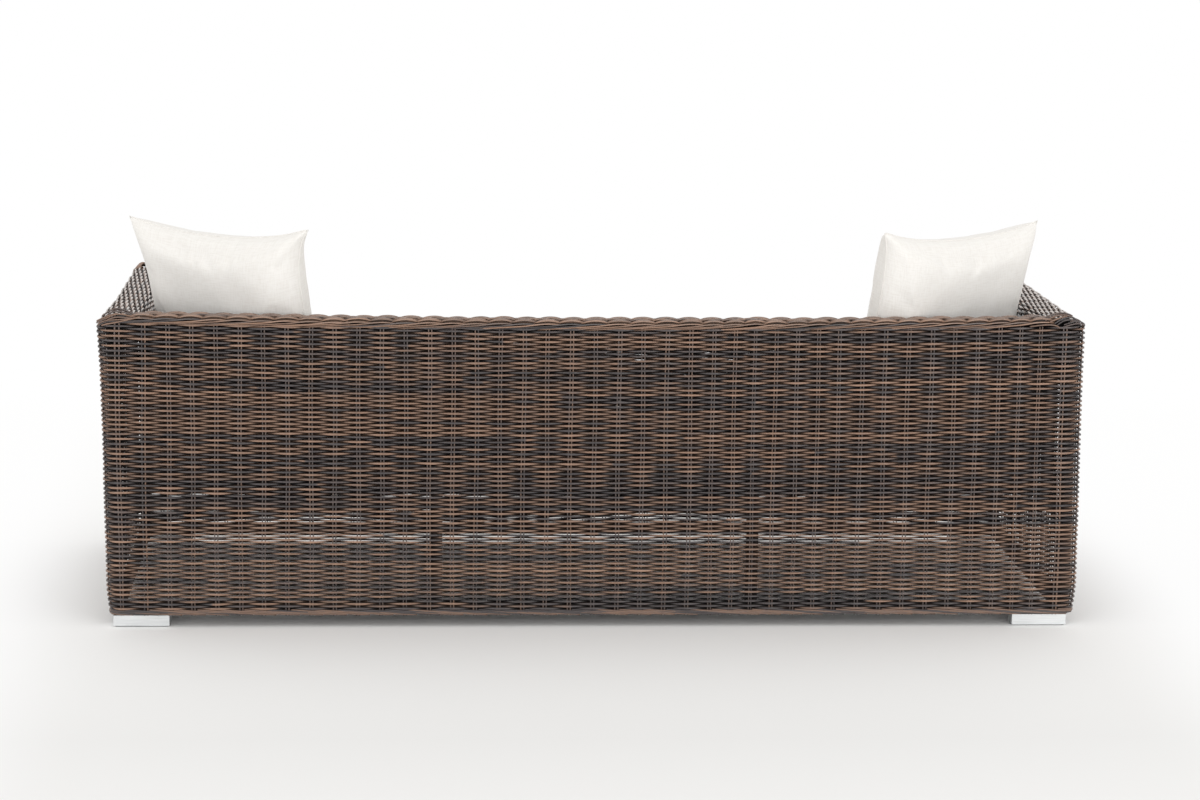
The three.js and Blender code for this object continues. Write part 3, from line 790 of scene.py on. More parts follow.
@dataclass
class WovenSkin:
    """A skin of round weavers that pass over and under pairs of thinner stakes."""

    name: str
    surface: Wall | ArmWrap | Deck | ArmCap
    length: float
    height: float
    bays: int
    start_height: float = 0.0
    first: int = 0
    seed: int = 1
    row_pitch: float = 5.2 * MM
    weaver_radius: float = 2.1 * MM
    lift: float = 3.5 * MM
    swell: float = 0.12
    sides: int = 5
    steps: int = 4
    stake_radius: float = 1.4 * MM
    stakes_apart: float = 6.4 * MM
    stake_out: float = 0.7 * MM
    stake_step: float = 24 * MM
    dark_share: float = 0.36
    loose_places: list[tuple[float, float]] = field(default_factory=list)
    looseness: float = 1.5 * MM
    loose_reach: tuple[float, float] = (6 * MM, 5 * MM)
    settles: bool = True
    staked: bool = True
    # Painted highlight on the crests near the arms' top: how much it lightens them, 1 for none, and
    # how far below the top it reaches.
    painted_highlight: float = 1.0
    highlight_band: float = 14 * MM
    # Where along the wave the painted shade gives way to full colour, and the painted shade where a
    # weaver dives behind the stakes.
    open_waves: tuple[float, float] = (-0.8, 0.45)
    painted_dive_shade: float = 0.05
    thickness_spread: float = 0.03
    slack_spread: float = 0.05
    calm_edge: float = 12 * MM
    strand_length: float = 0.7
    dark_bands: tuple[tuple[float, float], ...] = ((34, 1.3), (13, 0.4))
    dark_tones: tuple[float, float] = (0.3, 0.07)
    brown_tones: tuple[float, float] = (0.74, 0.1)
    stake_tones: tuple[float, float] = (0.5, 0.08)
    stake_sway: float = 1.1 * MM
    wander: tuple[tuple[float, float, float], ...] = (
        (0.16, 31, 0), (0.13, 83, 0), (0.5, 7.3, 41), (0.35, 17.1, -67),
    )

    @property
    def spacing(self) -> float:
        """The distance between two stakes."""
        return self.length / self.bays

    @property
    def rows(self) -> int:
        """How many weavers the skin holds."""
        return int((self.height - self.start_height) / self.row_pitch + 0.5)

    def build(self, finish: bpy.types.Material) -> list[bpy.types.Object]:
        """Weaves the skin.

        Args:
            finish: The cane's material.

        Returns:
            The weavers, and the stakes where the skin has its own, each as one piece.
        """
        pieces = [self.weavers()]
        if self.staked:
            pieces.append(self.stakes())
        for piece in pieces:
            dress(piece, finish)
            shade_round(piece)
        return pieces

    def wrapped(self, flat: np.ndarray) -> np.ndarray:
        """Lays flat places on the skin's own surface."""
        flat = flat.copy()
        flat[:, 1] -= SIZES.skin / 2
        placed = self.surface.place(flat)
        return SIZES.settle(placed) if self.settles else placed

    def strand_unit(self) -> bpy.types.Object:
        """Models one weaver over two bays.

        Returns:
            The weaver, with open ends, running along X from the first bay.
        """
        deselect_all()
        bpy.ops.mesh.primitive_circle_add(
            vertices=self.sides, radius=self.weaver_radius, location=(0, 0, self.row_pitch / 2),
            rotation=(0, math.pi / 2, 0), enter_editmode=True,
        )
        unit = bpy.context.object
        step = self.spacing / self.steps
        for index in range(2 * self.steps):
            rise = self.wave(np.array([index, index + 1.0]) * step, 0)
            bpy.ops.mesh.extrude_region_move(**shift(step, float(rise[1] - rise[0])))
        bpy.ops.mesh.select_all(action="SELECT")
        bpy.ops.mesh.normals_make_consistent(inside=False)
        bpy.ops.object.mode_set(mode="OBJECT")
        apply_place(unit)
        return unit

    def wave(self, along: np.ndarray, row: np.ndarray | int) -> np.ndarray:
        """Returns how far a weaver's centre line stands out of the skin's middle."""
        return self.lift * np.sin(
            math.pi * along / self.spacing + math.pi * (row + self.first)
        )

    def weavers(self) -> bpy.types.Object:
        """Repeats the strand unit over the skin, then wraps and colours it."""
        piece = named(self.strand_unit(), self.name)
        self.repeat(piece, (2 * self.spacing, 0, 0), math.ceil(self.bays / 2), merge=True)
        apply_modifiers(piece)
        self.cut_level(piece, (self.length, 0, 0), (1, 0, 0))
        with editing(piece):
            close_ends()
            bpy.ops.mesh.duplicate_move(**shift(z=self.row_pitch))
            bpy.ops.transform.mirror(constraint_axis=(False, True, False), orient_type="GLOBAL")
            bpy.ops.mesh.flip_normals()
        self.repeat(piece, (0, 0, 2 * self.row_pitch), math.ceil(self.rows / 2), merge=False)
        apply_modifiers(piece)
        if self.rows % 2:
            self.cut_level(piece, (0, 0, self.rows * self.row_pitch), (0, 0, 1))
        self.settle_weavers(piece)
        return piece

    def repeat(
        self, piece: bpy.types.Object, offset: tuple[float, float, float], count: int, merge: bool,
    ) -> None:
        """Adds an array to a piece."""
        array = piece.modifiers.new("repeat", "ARRAY")
        array.count = count
        array.use_relative_offset = False
        array.use_constant_offset = True
        array.constant_offset_displace = offset
        array.use_merge_vertices = merge
        array.merge_threshold = 0.01 * MM

    def cut_level(
        self, piece: bpy.types.Object, place: tuple[float, float, float],
        normal: tuple[float, float, float],
    ) -> None:
        """Cuts away what lies beyond a plane."""
        with editing(piece):
            bpy.ops.mesh.bisect(
                plane_co=place, plane_no=normal, clear_outer=True, use_fill=False,
                threshold=0.001 * MM,
            )

    def settle_weavers(self, piece: bpy.types.Object) -> None:
        """Gives each weaver its own thickness, slack and colour, and wraps it on the skin."""
        chance = np.random.default_rng(self.seed)
        flat = points_of(piece)
        along, out, up = flat.T
        row = np.clip(np.floor(up / self.row_pitch), 0, self.rows - 1).astype(int)
        centre = (row + 0.5) * self.row_pitch
        wave = self.wave(along, row)
        thick = chance.normal(1, self.thickness_spread, self.rows)[row]
        swollen = thick * (1 + self.swell * np.abs(wave / self.lift) ** 1.5)
        slack = chance.normal(1, self.slack_spread, self.rows)[row]
        phases = chance.uniform(0, 2 * math.pi, (4, self.rows))
        wander = np.zeros(len(flat))
        for (amount, per_along, per_up), phase in zip(self.wander, phases):
            begun = phase[0] if per_up else phase[row]
            wander += amount * MM * np.sin(along * per_along + centre * per_up + begun)
        calm = self.calm_edge
        wander *= smoothstep(0, calm, centre) * smoothstep(0, calm, self.height - centre)
        for place_along, place_up in self.loose_places:
            above = self.start_height + centre - place_up
            near = np.exp(-((along - place_along) / self.loose_reach[0]) ** 2)
            near *= np.exp(-(above / self.loose_reach[1]) ** 2)
            wander += self.looseness * near * np.sign(above)
        angle = np.arctan2(up - centre, out - wave)
        placed = np.column_stack([
            along,
            wave * slack + (out - wave) * thick,
            self.start_height + centre + wander + (up - centre) * swollen,
        ])
        wrapped = self.wrapped(placed)
        move_points(piece, wrapped)
        set_attribute(piece, "tone", self.tones(chance, along, row))
        # Painted light: weavers are darkened as painted shade where they dive behind the stakes,
        # and lightened as painted highlight on their crests near the arms' top.
        open_share = smoothstep(*self.open_waves, wave / self.lift)
        top, dive_shade = SIZES.arm_height, self.painted_dive_shade
        highlight_share = smoothstep(top - self.highlight_band, top, wrapped[:, 2])
        painted_highlight = 1 + (self.painted_highlight - 1) * highlight_share * open_share ** 3
        set_attribute(piece, "painted_light", dive_shade + (painted_highlight - dive_shade) * open_share)
        set_attribute(piece, "strand", np.column_stack([along, angle / (2 * math.pi), row]))

    def tones(
        self, chance: np.random.Generator, along: np.ndarray, row: np.ndarray,
    ) -> np.ndarray:
        """Gives every strand a tone, dark or brown, that changes where a new strand begins.

        Args:
            chance: The source of chance.
            along: The place of each point along its row.
            row: The row of each point.

        Returns:
            A tone from 0 to 1 for each point.
        """
        pieces = 1 + math.ceil(self.length / self.strand_length)
        height = np.arange(self.rows) * self.row_pitch
        slow, fast = (np.sin(height * per_up + begun) for per_up, begun in self.dark_bands)
        share = self.dark_share * (0.55 + 0.9 * (0.5 + 0.5 * slow * fast))
        shape = (self.rows, pieces)
        dark = chance.uniform(0, 1, shape) < share[:, None]
        tone = np.where(
            dark, chance.normal(*self.dark_tones, shape), chance.normal(*self.brown_tones, shape),
        )
        begun = chance.uniform(0, 1, self.rows)[row]
        index = np.clip((along / self.length * (pieces - 1) + begun).astype(int), 0, pieces - 1)
        return np.clip(tone[row, index], 0.02, 0.98)

    def stakes(self) -> bpy.types.Object:
        """Models one pair of stakes and repeats it along the skin."""
        deselect_all()
        first = self.spacing / 2
        bpy.ops.mesh.primitive_circle_add(
            vertices=6, radius=self.stake_radius, enter_editmode=True,
            location=(first - self.stakes_apart / 2, self.stake_out, 0),
        )
        piece = named(bpy.context.object, f"{self.name}_stakes")
        bpy.ops.mesh.duplicate_move(**shift(self.stakes_apart))
        bpy.ops.mesh.select_all(action="SELECT")
        count = max(2, round(self.height / self.stake_step))
        for _ in range(count):
            bpy.ops.mesh.extrude_region_move(**shift(z=self.height / count))
        close_ends()
        bpy.ops.object.mode_set(mode="OBJECT")
        apply_place(piece)
        self.repeat(piece, (self.spacing, 0, 0), self.bays, merge=False)
        apply_modifiers(piece)
        chance = np.random.default_rng(self.seed + 500)
        flat = points_of(piece)
        stake = np.floor(flat[:, 0] / (self.spacing / 2)).astype(int)
        tone = np.clip(chance.normal(*self.stake_tones, 2 * self.bays + 2), 0.05, 1)[stake]
        sway = chance.uniform(0, 2 * math.pi, self.bays + 1)[stake // 2]
        strand = np.column_stack([flat[:, 2], flat[:, 1] / self.stake_radius / 6, stake])
        flat[:, 0] += self.stake_sway * np.sin(flat[:, 2] * 11 + sway)
        move_points(piece, self.wrapped(flat))
        set_attribute(piece, "tone", tone)
        set_attribute(piece, "painted_light", np.ones(len(tone)))
        set_attribute(piece, "strand", strand)
        return piece


# Plaited borders


@dataclass
class CaneBundle:
    """Loose strands of cane, each drawn along its own line."""

    name: str
    radius: float = 2.2 * MM
    lines: list[np.ndarray] = field(default_factory=list)
    tones: list[float] = field(default_factory=list)
    painted_lights: list[float | np.ndarray] = field(default_factory=list)

    def add(self, line: np.ndarray, tone: float, painted_light: float | np.ndarray = 1.0) -> None:
        """Adds a strand along a line of points.

        Args:
            line: The points.
            tone: Its colour, from charcoal at 0 to brown at 1.
            painted_light: Its painted light, below 1 painted shade and above 1 painted
            highlight, for the whole strand or for each point.
        """
        self.lines.append(line)
        self.tones.append(tone)
        self.painted_lights.append(np.broadcast_to(painted_light, len(line)))

    def build(self, finish: bpy.types.Material) -> bpy.types.Object:
        """Draws the strands and makes them one mesh.

        Args:
            finish: The cane's material.

        Returns:
            One piece with all the strands.
        """
        piece = draw_round(self.name, self.lines, self.radius)
        total = sum(len(line) for line in self.lines)
        ring = len(piece.data.vertices) // total
        counts = [len(line) * ring for line in self.lines]
        run = []
        for line in self.lines:
            steps = np.linalg.norm(np.diff(line, axis=0), axis=1)
            run.append(np.repeat(np.concatenate([[0], np.cumsum(steps)]), ring))
        around = np.tile(np.arange(ring) / ring, total)
        owner = np.repeat(np.arange(len(self.lines)), counts)
        set_attribute(piece, "tone", np.repeat(np.array(self.tones), counts))
        # Painted shade and highlight for the cane's colour.
        set_attribute(piece, "painted_light", np.repeat(np.concatenate(self.painted_lights), ring))
        set_attribute(piece, "strand", np.column_stack([np.concatenate(run), around, owner * 3.7]))
        dress(piece, finish)
        with editing(piece):
            close_ends()
        shade_round(piece)
        return piece


@dataclass
class FootBorder:
    """The border along the skins' lower edge: long strands that climb across three stakes."""

    name: str
    surface: Wall | ArmWrap
    length: float
    spacing: float
    seed: int
    height: float = 12 * MM
    reach: float = 3.1
    strands_each: int = 2
    points: int = 13
    lowest: float = 2 * MM
    climb_short: float = 3.6 * MM
    strands_apart: float = 1.3 * MM
    arch: float = 3.4 * MM
    sunk: float = 4.6 * MM
    scatter: float = 0.2 * MM
    dark_share: float = 0.35

    def build(self, finish: bpy.types.Material) -> bpy.types.Object:
        """Plaits the border along its surface."""
        chance = np.random.default_rng(self.seed)
        bundle = CaneBundle(self.name)
        count = round(self.length / self.spacing)
        for index in range(-2, count):
            for strand in range(self.strands_each):
                share = np.linspace(0, 1, self.points)
                start = (index + 0.5 * strand / self.strands_each) * self.spacing
                along = start + share * self.reach * self.spacing
                up = self.lowest + (self.height - self.climb_short) * share
                up = up + self.strands_apart * strand
                out = self.arch * np.sin(math.pi * share) ** 0.6 - self.sunk
                line = np.column_stack([along, out + chance.normal(0, self.scatter), up])
                line = line[(along > 0) & (along < self.length)]
                if len(line) > 2:
                    tone = 0.24 if chance.uniform() < self.dark_share else 0.66
                    bundle.add(SIZES.settle(self.surface.place(line)), tone)
        return bundle.build(finish)


@dataclass(frozen=True)
class StrandPath:
    """How a strand of a rolled border runs.

    At each of its stations, told in bays, it is so far in from the wall's face and so far
    below the border's top, both in mm, and has its painted light: below 1 painted shade,
    above 1 painted highlight.
    """

    bays: tuple[float, ...]
    inward: tuple[float, ...]
    down: tuple[float, ...]
    painted_light: tuple[float, ...]

    def read(self, count: int) -> tuple[np.ndarray, ...]:
        """Rounds the path off and reads it at even steps.

        Args:
            count: How many points the strand has.

        Returns:
            The bays, the depths and drops in metres, and the strand's painted light there.
        """
        start, end = self.bays[0], self.bays[-1]
        fine = np.linspace(start, end, 6 * count)
        reach = max(1, round(0.14 * len(fine) / (end - start)))
        window = np.hanning(2 * reach + 3)
        read = [np.linspace(start, end, count)]
        for values, unit in ((self.inward, MM), (self.down, MM), (self.painted_light, 1.0)):
            padded = np.pad(
                np.interp(fine, self.bays, values), reach + 1, mode="reflect",
                reflect_type="odd",
            )
            curve = np.convolve(padded, window / window.sum(), "valid")
            read.append(unit * np.interp(read[0], fine, curve))
        return tuple(read)


# The last column is painted light: strands darken as painted shade where they tuck in and in the
# middle arc, and lighten slightly as painted highlight on the crests.
UPPER_ARC = StrandPath(
    (-0.35, -0.12, 0.05, 0.25, 0.5, 0.75, 0.95, 1.1, 1.3),
    (11.0, 6.0, 1.6, 1.2, 1.2, 1.4, 2.6, 7.0, 12.0),
    (12.4, 9.0, 6.0, 3.7, 2.7, 3.9, 6.6, 9.8, 13.0),
    (0.05, 0.4, 1.0, 1.08, 1.08, 1.08, 0.8, 0.2, 0.05),
)
MIDDLE_ARC = StrandPath(
    (-0.2, 0.0, 0.25, 0.5, 0.75, 1.0, 1.2),
    (9.0, 6.0, 4.6, 4.4, 4.6, 6.0, 10.0),
    (12.0, 10.0, 7.9, 7.0, 8.0, 10.4, 13.0),
    (0.05, 0.15, 0.34, 0.4, 0.34, 0.15, 0.05),
)
LOWER_ARC = StrandPath(
    (-3.1, -2.6, -2.0, -1.5, -1.0, -0.5, -0.1, 0.1, 0.3, 0.5, 0.8, 1.0, 1.25),
    (6.0, 3.0, 2.0, 1.6, 1.2, 0.8, 0.2, 0.2, 0.6, 1.0, 1.6, 3.6, 9.0),
    (24.4, 22.4, 20.2, 18.6, 17.0, 15.4, 12.8, 11.3, 10.5, 10.2, 10.7, 12.0, 14.7),
    (0.1, 0.8, 1.0, 1.0, 1.0, 1.0, 1.05, 1.08, 1.08, 1.08, 1.05, 0.6, 0.05),
)
CROWN_ARCS = tuple(
    StrandPath(
        (-0.08, 0.08, 0.28, 0.5, 0.74, 0.94, 1.1),
        (inward - 1.0, inward, inward, inward, inward, inward + 1.0, inward + 3.0),
        tuple(down + rise for rise in (7.4, 4.3, 1.3, 0.0, 1.2, 4.4, 8.2)),
        (0.15, 1.0, 1.08, 1.08, 1.08, 0.9, 0.1),
    )
    for inward, down in ((7.0, 2.5), (13.0, 2.0), (20.0, 2.0), (28.0, 2.6))
)


@dataclass
class RolledBorder:
    """A border rolled from the ends of the stakes.

    Each pair of ends climbs past two stakes, swells into a lens over the next one and tucks
    in under the lens after that. It is wound over a core of charcoal strands, darkened
    further with painted shade.
    """

    surface: Wall
    length: float
    bays: int
    top: float
    towards_start: bool
    scale: float = 1.0
    depth: float = 52 * MM
    free_ends: int = 0
    end_drop: float = 0.0
    corner_run: float = 66 * MM
    dark_share: float = 0.2
    seed: int = 41
    lens_scatter: float = 0.45 * MM
    inward_scatter: float = 0.2 * MM
    down_scatter: float = 0.3 * MM
    core_step: float = 3.2 * MM

    @property
    def spacing(self) -> float:
        """The distance between two lenses."""
        return self.length / self.bays

    def plait(self, bundle: CaneBundle) -> None:
        """Adds the border's strands to a bundle."""
        chance = np.random.default_rng(self.seed)
        paths = [(UPPER_ARC, 16, 0.82), (MIDDLE_ARC, 12, 0.76), (LOWER_ARC, 36, 0.82)]
        paths += [(path, 11, 0.72) for path in CROWN_ARCS]
        lenses = range(-2, self.bays + 3)
        if self.free_ends:
            lenses = range(self.free_ends, self.bays - self.free_ends)
        for index in lenses:
            dark = chance.uniform() < self.dark_share
            sunk = chance.normal(0, self.lens_scatter)
            for path, count, brown in paths:
                bays, inward, down, painted_light = path.read(count)
                tone = chance.normal(0.3 if dark and path is LOWER_ARC else brown, 0.12)
                inward = inward + chance.normal(0, self.inward_scatter)
                down = down + sunk + chance.normal(0, self.down_scatter)
                self.add(bundle, index + bays, inward, down, float(np.clip(tone, 0, 1)), painted_light)

    def wind_core(self, bundle: CaneBundle) -> None:
        """Adds the charcoal strands that the border is wound over, darkened with painted shade."""
        face = 6 * MM
        places = [(face, down * MM) for down in (25, 22.4, 19.8, 17.2, 14.6, 12)]
        for number in range(int((self.depth - 2 * face) / self.scale / self.core_step) + 1):
            places.append((face + number * self.core_step, 10 * MM))
        bays = np.linspace(0, self.bays, 60)
        even = np.ones(60)
        # Tone 0.1 is charcoal cane; the painted light of 0.06 is painted shade.
        for inward, down in places:
            self.add(bundle, bays, even * inward, even * down, 0.1, even * 0.06)

    def add(
        self, bundle: CaneBundle, bays: np.ndarray, inward: np.ndarray, down: np.ndarray,
        tone: float, painted_light: np.ndarray,
    ) -> None:
        """Lays one strand on the wall and cuts it off at the wall's ends.

        Args:
            bundle: The bundle that gets the strand.
            bays: Places along the border, in bays.
            inward: How far in from the wall's face it is.
            down: How far below the border's top it is.
            tone: Its colour.
            painted_light: How bleached it is.
        """
        along = bays * self.spacing
        if self.towards_start:
            along = self.length - along
        from_end = np.minimum(along, self.length - along)
        drop = self.end_drop * (1 - smoothstep(10 * MM, self.corner_run, from_end))
        flat = np.column_stack([
            along, -self.scale * inward - 0.9 * MM, self.top - self.scale * down - drop,
        ])
        inside = (along > 1 * MM) & (along < self.length - 1 * MM)
        if inside.sum() > 2:
            line = SIZES.settle(self.surface.place(flat[inside]))
            bundle.add(line, tone, painted_light[inside])


@dataclass(frozen=True)
class CornerCurl:
    """The last strands of the top border, which curl over each other and round the corner."""

    surface: Wall
    length: float
    from_start: bool
    strands: tuple[tuple[float, tuple[tuple[float, float, float], ...]], ...]

    def plait(self, bundle: CaneBundle) -> None:
        """Adds the strands to a bundle, each rounded off."""
        for tone, stops in self.strands:
            line = np.array(stops, float) * MM
            for _ in range(2):
                start, end = line[:-1], line[1:]
                cut = np.stack([0.75 * start + 0.25 * end, 0.25 * start + 0.75 * end], axis=1)
                line = np.vstack([line[:1], cut.reshape(-1, 3), line[-1:]])
            along = line[:, 0] if self.from_start else self.length - line[:, 0]
            placed = self.surface.place(np.column_stack([along, -line[:, 1], line[:, 2]]))
            bundle.add(SIZES.settle(placed), tone)


KNOT = (
    (0.5, ((119, 8, 19.6), (109, 11, 24.1), (99, 14, 27.6), (87, 15, 29.9), (74, 14, 29.6),
           (66, 11, 27.1), (60, 8, 23.6))),
    (0.5, ((115, 18, 17), (104, 21, 22.5), (92, 23, 26), (80, 22, 27), (70, 18, 24.5),
           (63, 13, 20))),
    (0.6, ((115, 4, 16.3), (105, 6, 20), (95, 7, 24.3), (84, 7, 26.3), (74, 7, 26.3),
           (66, 5, 24.1), (59, 3, 20))),
    (0.76, ((106, 1.5, 12.7), (98, 2, 16.2), (90, 2, 19.2), (82, 2.5, 22.1), (74, 4, 23.8),
            (68, 8, 22))),
    (0.26, ((96, 2, 9.5), (90, 0, 14), (82, -1, 18.7), (74, -1.5, 21.8), (67, -1, 22.7),
            (61, 0, 20.5), (54, 2, 13.5))),
    (0.32, ((91, 3, 5), (86, 0, 10.5), (79, -1.5, 15.2), (71, -2, 17.3), (65, -1.5, 17.8),
            (58, 0, 15), (48, 2, 7.5))),
    (0.45, ((79, 1, 1.3), (70, -1, 4.7), (62, -1, 7.7), (54, 0, 8.5), (40, 0, 5), (22, 1, 0))),
    (0.35, ((77, 2, 6.2), (68, 0, 9.5), (62, -0.5, 13), (54, 0, 14), (47, 0, 10.5), (33, 0, 3),
            (20, 1, -4))),
    (0.5, ((62, 6, 20.5), (54, 4, 17.5), (46, 2, 12), (38, 3, 5), (28, 4, -2))),
    (0.66, ((152, 7, 3), (140, 1.5, 5), (128, 0.5, 6.4), (106, 0.3, 7.4), (92, 0.5, 5),
            (85, 2, -1))),
)
FAN = (
    (0.5, ((40, 4, 12.8), (49, 8, 21.6), (57, 10, 25.3), (65, 11, 28.6), (73, 12, 30.4),
           (82, 12, 28.9), (94, 10, 25.8), (104, 6, 21))),
    (0.5, ((52, 14, 18), (62, 17, 24), (73, 19, 27), (84, 18, 26), (96, 15, 23), (106, 9, 18.5))),
    (0.42, ((53, 3, 13.5), (59, 4, 20.8), (67, 5, 24.6), (76, 5, 25.6), (86, 5, 23.6),
            (98, 4, 20.3), (106, 3, 17))),
    (0.74, ((55, 1, 8.8), (62, 1, 14.3), (69, 1, 18.3), (77, 1, 20.3), (88, 1, 19.3),
            (100, 1.5, 16.2), (110, 4, 13.8))),
    (0.66, ((58, 0.5, 5), (64, 0, 10), (71, 0, 13), (79, 0, 14), (91, 0, 13), (103, 1.5, 12),
            (110, 5, 11))),
    (0.78, ((52, 1, -5), (60, 0, -1.5), (69, -0.5, 1), (81, -0.5, 5), (96, -0.5, 9),
            (108, 0, 12), (119, 2, 15))),
    (0.7, ((73, 3, 21), (60, 0, 17), (50, -0.5, 10), (38, -0.5, 4), (22, 0, 0))),
    (0.6, ((64, 3, 14), (54, 0, 9), (44, 0, 3), (32, 0, -2), (18, 0, -4))),
)


# Cushions


def puff(piece: bpy.types.Object, pressure: float, steps: int, cap: float | None = None) -> None:
    """Swells a closed piece as cloth under pressure, then applies the result.

    Args:
        piece: The piece that swells.
        pressure: The pressure inside it.
        steps: How many frames the simulation runs for.
        cap: How far a point may move, or nothing for no limit.
    """
    before = points_of(piece)
    make_active(piece)
    cloth = piece.modifiers.new("puff", "CLOTH")
    cloth.settings.use_pressure = True
    cloth.settings.uniform_pressure_force = pressure
    cloth.settings.effector_weights.gravity = 0
    cloth.point_cache.frame_start = 1
    cloth.point_cache.frame_end = steps
    for step in range(1, steps + 1):
        bpy.context.scene.frame_set(step)
    bpy.ops.object.modifier_apply(modifier=cloth.name)
    bpy.context.scene.frame_set(1)
    if cap:
        moved = points_of(piece) - before
        far = np.linalg.norm(moved, axis=1, keepdims=True)
        move_points(piece, before + moved * np.minimum(1, cap / np.maximum(far, 1e-9)))


def subdivide_smoothly(piece: bpy.types.Object) -> None:
    """Adds one level of subdivision and applies it."""
    smooth = piece.modifiers.new("smooth", "SUBSURF")
    smooth.levels = smooth.render_levels = 1
    apply_modifiers(piece)
    make_active(piece)
    bpy.ops.object.shade_smooth()


@dataclass
class Seam:
    """A corded seam: a thin cord covered in the cushion's own cloth."""

    name: str
    line: np.ndarray
    radius: float

    def build(self, cover: bpy.types.Material) -> bpy.types.Object:
        """Draws the seam as a closed loop.

        Args:
            cover: The cushion's material.

        Returns:
            The seam as a mesh with its own UV map, in metres.
        """
        piece = draw_round(self.name, [self.line], self.radius, closed=True)
        with editing(piece):
            bpy.ops.mesh.normals_make_consistent(inside=False)
            bpy.ops.uv.cube_project(cube_size=1.0)
        bpy.ops.object.shade_smooth()
        piece.data.uv_layers[0].name = "cloth"
        dress(piece, cover)
        return piece


@dataclass
class ThrowPillow:
    """A knife-edged pillow: two panels sewn together, filled and nestled in a corner."""

    side: int
    turn: float
    lean: float
    seed: int
    flat_side: float = 460 * MM
    full_side: float = 455 * MM
    full_width: float = 472 * MM
    thickness: float = 165 * MM
    panels_apart: float = 3 * MM
    swelling: float = 12 * MM
    side_draw: float = 0.14
    top_draw: float = 0.105
    fullness: float = 0.3
    front_share: float = 0.64
    raised: float = 6 * MM
    forward: float = 8 * MM
    inward: float = 0.0
    overhang: float = 60 * MM
    overhang_above: float = 50 * MM
    steps: int = 56
    pressure: float = 5.0

    @property
    def name(self) -> str:
        """The node that the pillow replaces."""
        return f"throw_pillow_{'left' if self.side < 0 else 'right'}"

    def build(self, cover: bpy.types.Material) -> None:
        """Sews, fills and places the pillow, then cords its seam.

        Args:
            cover: The pillow's material.
        """
        piece = self.sewn_panels()
        flat = points_of(piece)
        self.start_full(piece, flat)
        puff(piece, self.pressure, 24, cap=16 * MM)
        self.fit(piece)
        self.nestle(piece)
        seam = Seam(f"{self.name}_seam", self.seam_line(piece, flat), 1.5 * MM).build(cover)
        subdivide_smoothly(piece)
        dress(piece, cover)
        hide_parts(self.name)
        for part in (piece, seam):
            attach(part, self.name)
        log.info("%s: %d points", self.name, len(piece.data.vertices))

    def sewn_panels(self) -> bpy.types.Object:
        """Makes two flat panels, one above the other, closed all round."""
        deselect_all()
        bpy.ops.mesh.primitive_grid_add(
            x_subdivisions=self.steps, y_subdivisions=self.steps, size=self.flat_side,
            location=(0, 0, -self.panels_apart / 2), enter_editmode=True,
        )
        piece = named(bpy.context.object, f"{self.name}_cover")
        bpy.ops.mesh.extrude_region_move(**shift(z=self.panels_apart))
        bpy.ops.mesh.select_all(action="SELECT")
        bpy.ops.mesh.normals_make_consistent(inside=False)
        bpy.ops.uv.cube_project(cube_size=1.0)
        bpy.ops.object.mode_set(mode="OBJECT")
        apply_place(piece)
        piece.data.uv_layers[0].name = "cloth"
        return piece

    def start_full(self, piece: bpy.types.Object, flat: np.ndarray) -> None:
        """Draws the panels in between their corners, bulges them and adds creases."""
        chance = np.random.default_rng(self.seed)
        u, v = (2 * flat[:, :2] / self.flat_side).T
        dome = np.maximum(0, (1 - u ** 2) * (1 - v ** 2))
        crease = np.zeros(len(flat))
        for _ in range(12):
            slant, phase = chance.uniform(0, math.pi), chance.uniform(0, 2 * math.pi)
            wave = chance.uniform(8, 20)
            crease += np.sin(wave * (u * math.cos(slant) + v * math.sin(slant)) + phase)
        share = np.where(flat[:, 2] > 0, self.front_share, 1 - self.front_share)
        bulge = (self.thickness - 2 * self.swelling) * share * dome ** self.fullness
        pleats = np.sin(21 * v + 2 * np.sin(4 * v)) * np.exp((np.abs(u) - 1) / 0.09)
        pleats += np.sin(24 * u + 2 * np.sin(5 * u)) * np.exp((np.abs(v) - 1) / 0.09)
        creased = 0.35 * crease * dome ** 0.3 + 2.2 * pleats * dome ** 0.5
        height = self.panels_apart / 2 + bulge + MM * creased
        half = self.full_side / 2
        outer = (1 + self.side * u) / 2
        drawn = outer * (1 - v ** 2) + (1 - outer) * (1 - np.abs(v) ** 5)
        move_points(piece, np.column_stack([
            u * half * (1 - self.side_draw * drawn),
            v * half * (1 - self.top_draw * (1 - u ** 2)),
            np.sign(flat[:, 2]) * height,
        ]))

    def fit(self, piece: bpy.types.Object) -> None:
        """Brings the filled pillow to its real size across and through."""
        places = points_of(piece)
        middle = (places.max(0) + places.min(0)) / 2
        wanted = np.array([self.full_width, self.full_side, self.thickness])
        move_points(piece, (places - middle) * wanted / np.ptp(places, axis=0))

    def nestle(self, piece: bpy.types.Object) -> None:
        """Turns and leans the pillow into its corner, against the arm, back and cushion."""
        place = Matrix.Rotation(math.radians(self.turn) * -self.side, 3, "Z")
        place = place @ Matrix.Rotation(math.radians(90 - self.lean), 3, "X")
        places = points_of(piece) @ np.array(place).T
        low, high = (np.array(corner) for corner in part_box(self.name))
        places += (low + high) / 2 - (places.max(0) + places.min(0)) / 2
        places += np.array([-self.side * self.inward, -self.forward, self.raised])
        places[:, 2] = np.maximum(places[:, 2], low[2])
        top = SIZES.arm_height
        free = smoothstep(top + 4 * MM, top + self.overhang_above, places[:, 2])
        arm = SIZES.arm_inner - SIZES.gap + self.overhang * free
        places[:, 0] = self.side * np.minimum(self.side * places[:, 0], arm)
        top = SIZES.border_bottom + SIZES.border_height
        free = smoothstep(top, top + self.overhang_above, places[:, 2])
        back = SIZES.lining_face + self.overhang * free
        places[:, 1] = np.minimum(places[:, 1], back)
        move_points(piece, places)

